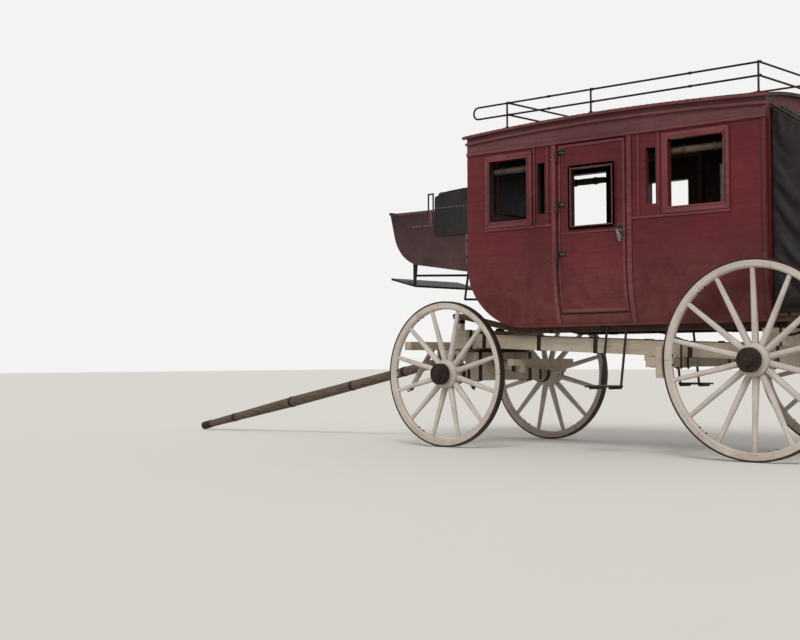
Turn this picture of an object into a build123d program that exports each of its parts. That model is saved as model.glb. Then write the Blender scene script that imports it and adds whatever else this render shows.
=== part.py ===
from build123d import *
import math
import os

os.makedirs("parts", exist_ok=True)

# A four-wheeled mail and passenger coach with its draught pole resting on the ground.
# Millimetres. Stations run forward (+X) from the rear axle, +Y is the coach's left, +Z is up.

# Clearances
seat_gap = 0.3            # between pieces that seat on each other
bush_gap = 0.5            # between a pin or axle arm and its bore
door_gap = 8.0            # round the door leaves
shoulder_gap = 5.0        # between a nave and the end of its axle bed
brake_gap = 8.0           # between a resting brake shoe and its tyre
cut_room = 20.0           # how far a blank runs past the cut that ends it

# Wheels
wheelbase = 2860.0
track = 1520.0            # between the middles of the rims
rear_rim_radius = 711.0
front_rim_radius = 604.0
rear_spokes = 14
front_spokes = 12
felloe_depth = 54.0
felloe_width = 50.0
felloe_chamfer = 12.0
tyre_thick = 14.0
spoke_foot_width = 44.0   # round the wheel
spoke_foot_depth = 56.0   # along the axle
spoke_tip_width = 33.0
spoke_tip_depth = 26.0
spoke_shave = 0.28        # share of the thinner side taken off each corner
wheel_dish = 36.0
nave_out = 92.0           # outward of the rim's middle
nave_in = 168.0           # inward of the rim's middle
nave_belly_radius = 120.0
nave_end_radius = 82.0
nave_bead_radius = 94.0
nave_bead_length = 16.0
nave_ring_length = 46.0
nave_ring_thick = 7.0
cap_length = 26.0
cap_radius = 52.0
cap_wall = 8.0
arm_radius = 27.0

# Beds, bolsters, perches and rings
axle_bed_width = 120.0
rear_bed_height = 160.0
rear_bed_rise = 20.0      # middle of the rear bed above its arms
front_bed_height = 120.0
bolster_width = 120.0
bolster_back_shift = 50.0
bolster_half_span = 600.0
perch_width = 90.0
perch_height = 115.0
perch_spacing = 380.0
perch_rear_z = 778.0
perch_front_z = 902.0
perch_block_station = 1040.0
perch_block_length = 130.0
perch_block_depth = 42.0
transom_width = 140.0
transom_half_span = 560.0
transom_height = 160.0
ring_radius = 260.0
ring_band = 55.0
ring_thick = 14.0
lower_bolster_height = 126.0
lower_bolster_half_span = 420.0
king_pin_radius = 18.0
king_head_radius = 40.0
king_head_height = 22.0

# Hounds, splinter bar, swingletrees and pole
hound_width = 60.0
hound_depth = 66.0
hound_rear_reach = 480.0  # behind the front axle
hound_front_reach = 640.0  # ahead of the front axle
hound_rise = 0.13         # upward for each millimetre forward
hound_bed_gap = 12.0      # wood left under the hounds' mortises
hound_rear_spread = 300.0
hound_blank_room = 200.0   # how far their blank stands past their outline
sway_bar_width = 60.0
sway_bar_height = 50.0
sway_bar_half_span = 440.0
splinter_width = 80.0
splinter_height = 62.0
splinter_half_span = 560.0
swingletree_length = 540.0
swingletree_middle_radius = 27.0
swingletree_end_radius = 19.0
swingletree_droop = 50.0  # degrees below level, hanging from its inner end
swingletree_hook_y = 120.0
swingletree_hook_inset = 26.0
swingletree_bolt_radius = 8.0
pole_pivot_reach = 440.0  # ahead of the front axle
pole_tip_reach = 4090.0
pole_butt_overhang = 150.0  # behind the pivot
pole_butt_end = 260.0     # where the square butt turns round
pole_butt_width = 92.0
pole_butt_height = 84.0
pole_pivot_drop = 8.0     # below the hounds' middle line
pole_swell_reach = 2690.0
pole_band_start = 222.0   # forward of the pole's pivot
pole_band_length = 34.0
pole_swell_radius = 52.0
pole_tip_radius = 37.0
pole_side_gap = 7.0
pole_ferrule_length = 130.0
pole_ferrule_thick = 4.0
pole_bolt_radius = 14.0

# Cabin
cabin_back_station = -40.0
cabin_front_station = 2735.0
cabin_half_width = 600.0
cabin_wall = 42.0
floor_bottom = 1000.0
floor_thick = 30.0
toe_radius = 530.0        # the round under the front
tuck_start = 1500.0       # below this the sides round inward
tuck_radius = 1633.0
cornice_bottom = 2475.0
roof_edge_height = 2690.0  # at the middle of the length
roof_end_drop = 45.0
roof_crown = 60.0
roof_thick = 25.0
roof_side_overhang = 30.0
roof_end_overhang = 30.0
roof_blank_room = 90.0    # how far the trimming blanks stand past the roof
roof_blank_height = 300.0
cornice_proud = 12.0
cornice_strip = 26.0

# Doors
door_rear_station = 1145.0
door_front_station = 1796.0
door_bottom = 1108.0
hinge_pin_radius = 7.0
hinge_knuckle_radius = 14.0
hinge_knuckle_length = 46.0
hinge_leaf_thick = 5.0
hinge_leaf_length = 70.0
hinge_heights = (1560.0, 1960.0, 2380.0)
handle_height = 1735.0
handle_inset = 46.0

# Side windows: name, rear station, front station, bottom, top, raised frame
side_windows = (
    ("rear", 300.0, 768.0, 1888.0, 2404.0, True),
    ("rear slot", 880.0, 968.0, 1925.0, 2362.0, False),
    ("front slot", 1922.0, 1998.0, 1925.0, 2345.0, False),
    ("front", 2092.0, 2484.0, 1888.0, 2404.0, True),
)
window_frame_width = 46.0
window_frame_proud = 12.0
door_window = (1270.0, 1658.0, 1802.0, 2262.0)
door_frame_width = 28.0

# Roof rack
rack_half_width = 520.0
rack_rod_radius = 8.0
rack_post_sink = 60.0     # posts start this far under the roof's edge height, then are cut at the roof
rack_low_height = 2800.0
rack_rail_gap = 100.0
rack_post_stations = (48.0, 1508.0, 2350.0)
rack_front_inset = 63.0     # behind the cabin's front

# Driver's boot and seat
boot_half_width = 580.0
boot_board = 24.0
boot_blank_room = 200.0    # how far the hollow's blank runs out of the tub
boot_rear_bottom = 1490.0
boot_corner_reach = 807.0  # ahead of the cabin's front
boot_corner_height = 1610.0
boot_corner_radius = 350.0
boot_rim_reach = 915.0
boot_rim_height = 2055.0
boot_lip_radius = 13.0
seat_depth = 372.0
seat_box_height = 72.0
driver_cushion_height = 92.0
driver_cushion_overhang = 26.0
seat_rail_radius = 7.0
seat_rail_height = 140.0
seat_rail_length = 55.0
boot_iron_radius = 10.0
boot_iron_spread = 440.0
foot_plate_length = 300.0
foot_plate_thick = 18.0
foot_plate_half_width = 470.0
foot_plate_reach = 715.0   # its rear edge, ahead of the cabin's front
foot_plate_height = 1410.0
foot_plate_tilt = 14.5

# Thoroughbraces, standards, steps and brake
strap_width = 90.0
strap_thick = 45.0
strap_spread = 440.0
strap_rise_after_toe = 75.0
standard_width = 62.0
standard_height = 262.0
step_station = 1300.0
step_length = 240.0
step_width = 175.0
step_height = 532.0
step_thick = 14.0
step_outer_reach = 790.0
step_iron_radius = 10.0
brake_beam_station = 825.0
brake_beam_width = 86.0
brake_beam_height = 78.0
brake_beam_half_span = 790.0
brake_shoe_height = 240.0
brake_shoe_width = 56.0
lever_pivot_reach = 330.0  # ahead of the cabin's front
lever_pivot_height = 1700.0
lever_foot_height = 1400.0
lever_top_height = 2110.0
lever_lean = 75.0         # top ahead of the pivot, and foot behind it
lever_foot_width = 46.0
lever_top_width = 26.0
lever_thick = 10.0
lever_grip_length = 150.0
lever_grip_radius = 15.0
lever_boss_radius = 24.0
brake_rod_radius = 8.0

# Rear platform and its leather cover
platform_depth = 600.0
platform_half_width = 545.0
platform_rail_width = 60.0
platform_rail_height = 40.0
platform_slat_thick = 20.0
platform_slats = 5
cover_top = 2580.0
cover_wall = 26.0
cover_corner_radius = 120.0
cover_shoulder_run = 260.0   # the sloping top behind the cabin, and its fall
cover_shoulder_drop = 170.0
cover_slope_drop = 560.0     # below the top, where the long slope ends
cover_slope_inset = 70.0
cover_wall_rise = 560.0      # the upright part above the platform

# Benches and cushions inside
bench_height = 410.0      # above the floor
bench_depth = 440.0
bench_board = 22.0
cushion_thick = 88.0
cushion_inset = 12.0
backrest_height = 470.0
backrest_thick = 80.0
curtain_radius = 32.0
curtain_drop = 78.0       # middle of the roll below the window's head

# Places worked out from the sizes above
boot_corner_station = cabin_front_station + boot_corner_reach
boot_rim_station = cabin_front_station + boot_rim_reach
foot_plate_rear_station = cabin_front_station + foot_plate_reach
rack_front_station = cabin_front_station - rack_front_inset
rear_wheel_radius = rear_rim_radius + seat_gap + tyre_thick
front_wheel_radius = front_rim_radius + seat_gap + tyre_thick
hound_rear_station = wheelbase - hound_rear_reach
hound_front_station = wheelbase + hound_front_reach
pole_pivot_station = wheelbase + pole_pivot_reach
pole_tip_station = wheelbase + pole_tip_reach
pole_swell_station = wheelbase + pole_swell_reach
rack_top_height = rack_low_height + rack_rail_gap
bed_half_span = track / 2 - nave_in - shoulder_gap
floor_top = floor_bottom + floor_thick
strap_top = floor_bottom - seat_gap
rear_bolster_top = strap_top - strap_thick - seat_gap
rear_bed_top = rear_wheel_radius + rear_bed_rise + rear_bed_height / 2
front_bed_top = front_wheel_radius + front_bed_height / 2
lower_bolster_top = front_bed_top + lower_bolster_height
lower_ring_top = lower_bolster_top + ring_thick
upper_ring_top = lower_ring_top + bush_gap + ring_thick
transom_back = wheelbase - transom_width / 2
transom_front = wheelbase + transom_width / 2
transom_top = upper_ring_top + transom_height
perch_rear = axle_bed_width / 2
perch_slope = (perch_front_z - perch_rear_z) / (transom_back - perch_rear)
toe_start = cabin_front_station - toe_radius
toe_top = floor_bottom + toe_radius
cabin_middle = (cabin_back_station + cabin_front_station) / 2
roof_half_length = (cabin_front_station - cabin_back_station) / 2 + roof_end_overhang
roof_half_width = cabin_half_width + roof_side_overhang
roof_arch_radius = (roof_half_length ** 2 + roof_end_drop ** 2) / (2 * roof_end_drop)
roof_cross_radius = (roof_half_width ** 2 + roof_crown ** 2) / (2 * roof_crown)
hound_axle_z = front_bed_top + hound_depth / 2 + hound_bed_gap
hound_front_spread = pole_butt_width / 2 + pole_side_gap + hound_width / 2
hinge_axis_y = cabin_half_width + hinge_knuckle_radius + 2 * seat_gap
door_leaf_rear = door_rear_station + door_gap
door_leaf_front = door_front_station - door_gap
door_leaf_bottom = door_bottom
door_leaf_top = cornice_bottom - door_gap
boot_back = cabin_front_station + seat_gap
platform_top = floor_bottom + platform_rail_height + platform_slat_thick
cover_back = cabin_back_station - seat_gap
rear_end = min(-rear_wheel_radius, cover_back - platform_depth)


# Height of the perches' middle line and of the hounds' middle line at a station
def perch_z(station):
    return perch_rear_z + perch_slope * (station - perch_rear)


def hound_z(station):
    return hound_axle_z + hound_rise * (station - wheelbase)


# Half width of the cabin at a height, inset from its outer face
def half_width(height, inset=0.0):
    if height >= tuck_start:
        return cabin_half_width - inset
    drop = tuck_start - height
    return cabin_half_width - tuck_radius + math.sqrt((tuck_radius - inset) ** 2 - drop ** 2)


# A block between two corners
def block(x0, x1, y0, y1, z0, z1):
    return Pos((x0 + x1) / 2, (y0 + y1) / 2, (z0 + z1) / 2) * Box(x1 - x0, y1 - y0, z1 - z0)


# A round bar between two points, tapered where a second radius is given
def bar(start, end, radius, end_radius=None):
    run = Vector(*end) - Vector(*start)
    low = (Align.CENTER, Align.CENTER, Align.MIN)
    if end_radius is None:
        solid = Cylinder(radius, run.length, align=low)
    else:
        solid = Cone(radius, end_radius, run.length, align=low)
    return Plane(origin=start, z_dir=run) * solid


# A side outline of (station, height) points, extruded across the coach
def slab(points, y0, y1):
    face = make_face(Polyline(*[(x, y0, z) for x, z in points], close=True).edges())
    return extrude(face, amount=y1 - y0, dir=(0, 1, 0))


# A plan outline of (station, y) points, extruded upward
def plank(points, z0, z1):
    face = make_face(Polyline(*[(x, y, z0) for x, y in points], close=True).edges())
    return extrude(face, amount=z1 - z0, dir=(0, 0, 1))


# A turned piece from (radius, along) points, its axis along Y
def turned(points):
    face = make_face(Polyline(*[(r, y, 0) for r, y in points], close=True).edges())
    return revolve(face, axis=Axis.Y)


def mirrored(solid):
    return mirror(solid, about=Plane.XZ)


def both_sides(solid):
    return Compound(children=[*solid.solids(), *mirrored(solid).solids()])


# Cabin blanks: the full section along the coach, its side skins, and the side outline
def cabin_prism(inset, x0, x1, top):
    low, high = floor_bottom - cut_room, tuck_start
    middle = (low + high) / 2
    bottom_y = half_width(low, inset)
    middle_y = half_width(middle, inset)
    wide = half_width(high, inset)
    edges = [
        Line((x0, -bottom_y, low), (x0, bottom_y, low)),
        ThreePointArc((x0, bottom_y, low), (x0, middle_y, middle), (x0, wide, high)),
        Polyline((x0, wide, high), (x0, wide, top), (x0, -wide, top), (x0, -wide, high)),
        ThreePointArc((x0, -wide, high), (x0, -middle_y, middle), (x0, -bottom_y, low)),
    ]
    face = make_face([edge for part in edges for edge in part.edges()])
    return extrude(face, amount=x1 - x0, dir=(1, 0, 0))


def toe_outline(inset, y0, y1, top):
    radius = toe_radius - inset
    slant = radius * math.sqrt(0.5)
    low = toe_top - radius
    front = toe_start + radius
    back = cabin_back_station
    edges = [
        Polyline(
            (front, y0, toe_top), (front, y0, top), (back, y0, top), (back, y0, low), (toe_start, y0, low)
        ),
        ThreePointArc((toe_start, y0, low), (toe_start + slant, y0, toe_top - slant), (front, y0, toe_top)),
    ]
    face = make_face([edge for part in edges for edge in part.edges()])
    return extrude(face, amount=y1 - y0, dir=(0, 1, 0))


def side_skin(top):
    outer = cabin_prism(0, cabin_back_station, cabin_front_station, top)
    inner = cabin_prism(cabin_wall, cabin_back_station - 1, cabin_front_station + 1, top + 1)
    low = floor_bottom - 2 * cut_room
    left = block(cabin_back_station, cabin_front_station, 0, cabin_half_width + 1, low, top + 1)
    return (outer - inner) & left


# Roof shapes: each is a crosswise arch swung along the lengthwise arch
def roof_swing(low_radius, half, top_height, half_length):
    centre_z = roof_edge_height + roof_crown - roof_cross_radius
    edge_z = centre_z + math.sqrt(low_radius ** 2 - half ** 2)
    crown_z = centre_z + low_radius
    if top_height is None:
        top_edge = centre_z + math.sqrt(roof_cross_radius ** 2 - half ** 2)
        top = ThreePointArc(
            (cabin_middle, half, top_edge),
            (cabin_middle, 0, centre_z + roof_cross_radius),
            (cabin_middle, -half, top_edge),
        )
    else:
        top_edge = top_height
        top = Line((cabin_middle, half, top_edge), (cabin_middle, -half, top_edge))
    edges = [
        ThreePointArc(
            (cabin_middle, -half, edge_z), (cabin_middle, 0, crown_z), (cabin_middle, half, edge_z)
        ),
        Line((cabin_middle, half, edge_z), (cabin_middle, half, top_edge)),
        top,
        Line((cabin_middle, -half, top_edge), (cabin_middle, -half, edge_z)),
    ]
    face = make_face([edge for part in edges for edge in part.edges()])
    swing = math.degrees(math.asin(half_length / roof_arch_radius))
    axis = Axis((cabin_middle, 0, roof_edge_height - roof_arch_radius), (0, 1, 0))
    return revolve(face.rotate(axis, -swing), axis=axis, revolution_arc=2 * swing)


def cabin_roof():
    return roof_swing(roof_cross_radius - roof_thick, roof_half_width, None, roof_half_length)


# Everything above the roof's lower face, or below its upper face, to trim what meets it
def above_roof():
    wide, long = roof_half_width + roof_blank_room, roof_half_length + roof_blank_room
    high = roof_edge_height + roof_blank_height
    return roof_swing(roof_cross_radius - roof_thick - seat_gap, wide, high, long)


def below_roof_top():
    low = roof_edge_height - roof_blank_height
    return roof_swing(roof_cross_radius + seat_gap, roof_half_width, low, roof_half_length)


# Side panels, cornices, end walls and floor
def window_hole(rear, front, low, high):
    reach = cabin_half_width
    return block(rear, front, reach - 2 * cabin_wall, reach + 2 * cabin_wall, low, high)


def window_frame(rear, front, low, high, width, proud):
    y0, y1 = cabin_half_width, cabin_half_width + proud
    outer = block(rear - width, front + width, y0, y1, low - width, high + width)
    return outer - block(rear, front, y0 - 1, y1 + 1, low, high)


def quarter_panel(rear, front):
    skin = side_skin(cornice_bottom) & toe_outline(0, 0, cabin_half_width + 1, cornice_bottom)
    low = floor_bottom - 2 * cut_room
    panel = skin & block(rear, front, 0, cabin_half_width + 1, low, cornice_bottom + cut_room)
    for name, x0, x1, low, high, framed in side_windows:
        if rear < x0 and x1 < front:
            if framed:
                panel += window_frame(x0, x1, low, high, window_frame_width, window_frame_proud)
            panel -= window_hole(x0, x1, low, high)
    return panel


def cornice():
    skin = side_skin(roof_edge_height + roof_crown)
    rail = skin & block(
        cabin_back_station, cabin_front_station, 0, cabin_half_width + 1,
        cornice_bottom, roof_edge_height + roof_crown,
    )
    y1 = cabin_half_width + cornice_proud
    rail += block(
        cabin_back_station, cabin_front_station, cabin_half_width - 1, y1,
        cornice_bottom, cornice_bottom + cornice_strip,
    )
    return rail - above_roof()


def cabin_floor():
    inset = cabin_wall + seat_gap
    deck = cabin_prism(inset, cabin_back_station, toe_start, cornice_bottom)
    wide = cabin_half_width
    deck &= block(cabin_back_station, toe_start, -wide, wide, floor_bottom, floor_top)
    bay = cabin_prism(0, door_rear_station + seat_gap, door_front_station - seat_gap, cornice_bottom)
    deck += bay & block(0, toe_start, -cabin_half_width, cabin_half_width, floor_bottom, floor_top)
    sill_top = door_bottom - door_gap
    sill = side_skin(cornice_bottom) & block(
        door_rear_station + seat_gap, door_front_station - seat_gap, 0, cabin_half_width,
        floor_bottom, sill_top,
    )
    return deck + sill + mirrored(sill)


def cabin_front():
    top = roof_edge_height + roof_crown
    wide = cabin_half_width
    band = toe_outline(0, -wide, wide, top) - toe_outline(cabin_wall, -wide - 1, wide + 1, top + 1)
    band &= block(toe_start, cabin_front_station + 1, -wide - 1, wide + 1, floor_bottom - cut_room, top + 1)
    inner = cabin_prism(cabin_wall + seat_gap, toe_start, cabin_front_station, top)
    return (band & inner) - above_roof()


def cabin_back():
    top = roof_edge_height + roof_crown
    inner = cabin_prism(cabin_wall + seat_gap, cabin_back_station, cabin_back_station + cabin_wall, top)
    wide = cabin_half_width
    wall = inner & block(cabin_back_station, 0 + cabin_wall, -wide, wide, floor_top, top)
    return wall - above_roof()


# Door leaf, its irons and the pintles on the door post
def door_leaf():
    skin = side_skin(cornice_bottom)
    leaf = skin & block(
        door_leaf_rear, door_leaf_front, 0, cabin_half_width + 1, door_leaf_bottom, door_leaf_top
    )
    rear, front, low, high = door_window
    leaf += window_frame(rear, front, low, high, door_frame_width, window_frame_proud)
    return leaf - window_hole(rear, front, low, high)


def hinge_station():
    return door_front_station - door_gap / 2


def door_irons():
    x = hinge_station()
    y = hinge_axis_y
    inner = hinge_pin_radius + bush_gap
    skin_y = cabin_half_width + seat_gap
    irons = []
    for z in hinge_heights:
        knuckle = bar((x, y, z), (x, y, z + hinge_knuckle_length), hinge_knuckle_radius)
        strap = block(
            x - hinge_leaf_length, x, skin_y, skin_y + hinge_leaf_thick, z, z + hinge_knuckle_length
        )
        hinge = knuckle + strap
        hinge -= bar((x, y, z - 1), (x, y, z + hinge_knuckle_length + 1), inner)
        irons += hinge.solids()
    handle_x = door_leaf_rear + handle_inset
    plate = block(
        handle_x - 22, handle_x + 22, skin_y, skin_y + hinge_leaf_thick,
        handle_height - 60, handle_height + 60,
    )
    neck = bar((handle_x, skin_y, handle_height), (handle_x, skin_y + 42, handle_height), 8)
    lever = bar((handle_x, skin_y + 42, handle_height), (handle_x + 95, skin_y + 42, handle_height), 8, 6)
    irons += (plate + neck + lever).solids()
    return Compound(children=irons)


def door_pintles():
    x = hinge_station()
    y = hinge_axis_y
    skin_y = cabin_half_width + seat_gap
    pins = []
    for z in hinge_heights:
        base = z - hinge_knuckle_length - bush_gap
        lower = bar((x, y, base), (x, y, z - bush_gap), hinge_knuckle_radius)
        pin = bar((x, y, z - bush_gap), (x, y, z + hinge_knuckle_length + 4), hinge_pin_radius)
        leaf = block(
            x, x + hinge_leaf_length, skin_y, skin_y + hinge_leaf_thick, base, z - bush_gap
        )
        pins += (lower + pin + leaf).solids()
    return both_sides(Compound(children=pins))


# A wheel about the origin, its outer side toward +Y
def tyre(rim_radius):
    inner = rim_radius + seat_gap
    half = felloe_width / 2
    return turned([(inner, -half), (inner + tyre_thick, -half), (inner + tyre_thick, half), (inner, half)])


def nave():
    bore = arm_radius + bush_gap
    ring = nave_ring_length
    belly = wheel_dish
    bead = nave_out - ring - nave_bead_length
    return turned([
        (bore, -nave_in), (nave_end_radius, -nave_in), (nave_end_radius, ring - nave_in),
        (nave_belly_radius, -belly - 42), (nave_belly_radius, 42 - belly),
        (nave_end_radius, bead), (nave_bead_radius, bead), (nave_bead_radius, bead + nave_bead_length),
        (nave_end_radius, bead + nave_bead_length), (nave_end_radius, nave_out), (bore, nave_out),
    ])


# A spoke along +X: wide at its foot, shaved on its corners, dished outward to its tip
def spoke(rim_inner):
    foot = nave_belly_radius - 14
    tip = rim_inner + 6
    sections = []
    for x, y, width, depth in (
        (foot, -wheel_dish, spoke_foot_width, spoke_foot_depth),
        (tip, 0, spoke_tip_width, spoke_tip_depth),
    ):
        section = chamfer(Rectangle(depth, width).vertices(), spoke_shave * min(width, depth))
        sections.append(Plane(origin=(x, y, 0), x_dir=(0, 1, 0), z_dir=(1, 0, 0)) * section)
    inner = nave_belly_radius + seat_gap
    outer = rim_inner - seat_gap
    room = turned([(inner, -nave_in), (outer, -nave_in), (outer, nave_out), (inner, nave_out)])
    return loft(sections, ruled=True) & room


# One felloe of the rim, which holds two spokes
def felloe(rim_radius, share):
    half = felloe_width / 2
    inner = rim_radius - felloe_depth
    cut = felloe_chamfer
    points = [
        (rim_radius, -half), (rim_radius, half), (inner + cut, half),
        (inner, half - cut), (inner, cut - half), (inner + cut, -half),
    ]
    face = make_face(Polyline(*[(r, y, 0) for r, y in points], close=True).edges())
    return revolve(face, axis=Axis.Y, revolution_arc=share - math.degrees(seat_gap / inner))


def wheel_wood(rim_radius, spokes):
    solids = nave().solids()
    blank = spoke(rim_radius - felloe_depth)
    for index in range(spokes):
        solids += blank.rotate(Axis.Y, 360 / spokes * (index + 0.5)).solids()
    felloes = spokes // 2
    segment = felloe(rim_radius, 360 / felloes)
    for index in range(felloes):
        solids += segment.rotate(Axis.Y, 360 / felloes * index).solids()
    return Compound(children=solids)


def hub_irons():
    inner = nave_end_radius + seat_gap
    outer = inner + nave_ring_thick
    bands = []
    for start in (-nave_in, nave_out - nave_ring_length):
        end = start + nave_ring_length
        bands += turned([(inner, start), (outer, start), (outer, end), (inner, end)]).solids()
    arm_room = arm_radius + bush_gap
    base = nave_out + seat_gap
    face = base + cap_length
    bands += turned([
        (arm_room, base), (nave_end_radius, base),
        (nave_end_radius, base + cap_wall), (cap_radius, base + cap_wall),
        (cap_radius - 8, face), (0, face), (0, face - cap_wall), (arm_room, face - cap_wall),
    ]).solids()
    return Compound(children=bands)


def wheel_pieces(rim_radius, spokes, station, side):
    radius = rim_radius + seat_gap + tyre_thick
    place = Pos(station, track / 2, radius)
    solids = {
        "tyre": place * tyre(rim_radius),
        "wood": place * wheel_wood(rim_radius, spokes),
        "irons": place * hub_irons(),
    }
    if side == "right":
        solids = {name: mirrored(solid) for name, solid in solids.items()}
    return solids


# Axle beds and arms
def axle_bed(station, low, high):
    half = axle_bed_width / 2
    return block(station - half, station + half, -bed_half_span, bed_half_span, low, high)


def axle_arms(station, radius):
    end = track / 2 + nave_out + cap_length - cap_wall - shoulder_gap
    arm = bar((station, bed_half_span, radius), (station, end, radius), arm_radius)
    return both_sides(arm)


def perch_beams():
    half = perch_height / 2
    outline = [
        (perch_rear, perch_rear_z - half), (transom_back, perch_front_z - half),
        (transom_back, perch_front_z + half), (perch_rear, perch_rear_z + half),
    ]
    x0 = perch_block_station - perch_block_length / 2
    x1 = perch_block_station + perch_block_length / 2
    beams = []
    for y in (-perch_spacing, 0, perch_spacing):
        beam = slab(outline, y - perch_width / 2, y + perch_width / 2)
        if y != 0:
            low = perch_z(perch_block_station) - half - perch_block_depth
            high = low + perch_block_depth + half
            beam += block(x0, x1, y - perch_width / 2, y + perch_width / 2, low, high)
        beams += beam.solids()
    return Compound(children=beams)


def rear_bolster():
    back = -bolster_back_shift - bolster_width / 2
    return block(
        back, back + bolster_width, -bolster_half_span, bolster_half_span, rear_bed_top, rear_bolster_top
    )


def front_transom():
    beam = block(
        transom_back, transom_front, -transom_half_span, transom_half_span, upper_ring_top, transom_top
    )
    bore = king_pin_radius + bush_gap
    beam -= bar((wheelbase, 0, upper_ring_top - 1), (wheelbase, 0, transom_top + 1), bore)
    return beam


def turntable_ring(bottom):
    ring = Cylinder(ring_radius, ring_thick) - Cylinder(ring_radius - ring_band, 2 * ring_thick)
    return Pos(wheelbase, 0, bottom + ring_thick / 2) * ring


def king_pin():
    head = transom_top + bush_gap
    pin = bar((wheelbase, 0, lower_bolster_top), (wheelbase, 0, head + 1), king_pin_radius)
    return pin + bar((wheelbase, 0, head), (wheelbase, 0, head + king_head_height), king_head_radius)


# The hounds run through the lower bolster, splay rearward to the sway bar and carry the splinter bar
def hound_bar(grow):
    half = hound_width / 2 + grow
    depth = hound_depth / 2 + grow
    straight = wheelbase + transom_width
    plan = [
        (hound_rear_station, hound_rear_spread - half), (straight, hound_front_spread - half),
        (hound_front_station, hound_front_spread - half), (hound_front_station, hound_front_spread + half),
        (straight, hound_front_spread + half), (hound_rear_station, hound_rear_spread + half),
    ]
    low = hound_z(hound_rear_station)
    high = hound_z(hound_front_station)
    side = [
        (hound_rear_station, low - depth), (hound_front_station, high - depth),
        (hound_front_station, high + depth), (hound_rear_station, low + depth),
    ]
    room = hound_blank_room
    return plank(plan, low - room, high + room) & slab(side, 0, hound_rear_spread + room)


def hounds():
    bar_y = hound_bar(0)
    pair = bar_y + mirrored(bar_y)
    x = hound_rear_station
    z = hound_z(x) + hound_depth / 2
    pair += block(x, x + sway_bar_width, -sway_bar_half_span, sway_bar_half_span, z - 8, z + sway_bar_height)
    x = hound_front_station
    z = hound_z(x) + hound_depth / 2
    pair += block(
        x - splinter_width, x, -splinter_half_span, splinter_half_span, z - 12, z + splinter_height
    )
    bolt = pole_bolt_radius + bush_gap
    x, z = pole_pivot_station, hound_z(pole_pivot_station) - pole_pivot_drop
    return pair - bar((x, -splinter_half_span, z), (x, splinter_half_span, z), bolt)


def lower_bolster():
    half = axle_bed_width / 2
    beam = block(
        wheelbase - half, wheelbase + half, -lower_bolster_half_span, lower_bolster_half_span,
        front_bed_top, lower_bolster_top,
    )
    slot = hound_bar(seat_gap)
    return beam - slot - mirrored(slot)


# Swingletrees hang by their inner ends from bolts in the splinter bar's front face
def swingletree_hook():
    x = hound_front_station + seat_gap + swingletree_middle_radius
    z = hound_z(hound_front_station) + hound_depth / 2 + splinter_height / 2
    return x, swingletree_hook_y, z


def swingletrees():
    x, y, z = swingletree_hook()
    droop = math.radians(swingletree_droop)
    out = Vector(0, math.cos(droop), -math.sin(droop))
    top = Vector(x, y, z) - out * swingletree_hook_inset
    middle = top + out * (swingletree_length / 2)
    end = top + out * swingletree_length
    tree = bar(tuple(top), tuple(middle), swingletree_end_radius, swingletree_middle_radius)
    tree += bar(tuple(middle), tuple(end), swingletree_middle_radius, swingletree_end_radius)
    reach = 2 * swingletree_middle_radius
    tree -= bar((x - reach, y, z), (x + reach, y, z), swingletree_bolt_radius + bush_gap)
    return both_sides(tree)


def swingletree_bolts():
    x, y, z = swingletree_hook()
    share = swingletree_hook_inset / (swingletree_length / 2)
    round_here = swingletree_end_radius + (swingletree_middle_radius - swingletree_end_radius) * share
    face = x + round_here + bush_gap
    bolt = bar((hound_front_station, y, z), (face + 10, y, z), swingletree_bolt_radius)
    bolt += bar((face, y, z), (face + 10, y, z), 2 * swingletree_bolt_radius)
    return both_sides(bolt)


# The pole is square at its butt, round along its length, and lies down on the ground at its tip
def pole_frame():
    tip_radius = pole_tip_radius + pole_ferrule_thick + seat_gap
    pivot = Vector(pole_pivot_station, 0, hound_z(pole_pivot_station) - pole_pivot_drop)
    span = pole_tip_station - pole_pivot_station
    slope = math.atan2(pivot.Z - tip_radius, span)
    for step in range(3):
        low = tip_radius * math.cos(slope) + seat_gap
        slope = math.atan2(pivot.Z - low, span - tip_radius * math.sin(slope))
    return pivot, slope


def middle_station():
    pivot, slope = pole_frame()
    tip_radius = pole_tip_radius + seat_gap + pole_ferrule_thick
    return (rear_end + pole_tip_station + tip_radius * math.sin(slope)) / 2


def along_pole(distance):
    pivot, slope = pole_frame()
    return (pivot.X + distance * math.cos(slope), 0, pivot.Z - distance * math.sin(slope))


def pole_length():
    pivot, slope = pole_frame()
    return (pole_tip_station - pivot.X) / math.cos(slope)


def on_pole(distance):
    pivot, slope = pole_frame()
    return Pos(*along_pole(distance)) * Rot(0, math.degrees(slope), 0)


def pole_shaft():
    pivot, slope = pole_frame()
    butt = on_pole((pole_butt_end - pole_butt_overhang) / 2)
    butt *= Box(pole_butt_end + pole_butt_overhang, pole_butt_width, pole_butt_height)
    swell = pole_swell_station - pivot.X
    shoulder = pole_length() - pole_ferrule_length
    thin = pole_butt_height / 2 - 1
    shaft = bar(along_pole(pole_butt_end - 1), along_pole(swell), thin, pole_swell_radius)
    shaft += bar(along_pole(swell), along_pole(shoulder), pole_swell_radius, pole_tip_radius)
    shaft += bar(along_pole(shoulder - 1), along_pole(pole_length()), pole_tip_radius)
    bolt = pole_bolt_radius + bush_gap
    reach = pole_butt_width
    hole = bar((pivot.X, -reach, pivot.Z), (pivot.X, reach, pivot.Z), bolt)
    return butt + shaft - hole


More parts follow.
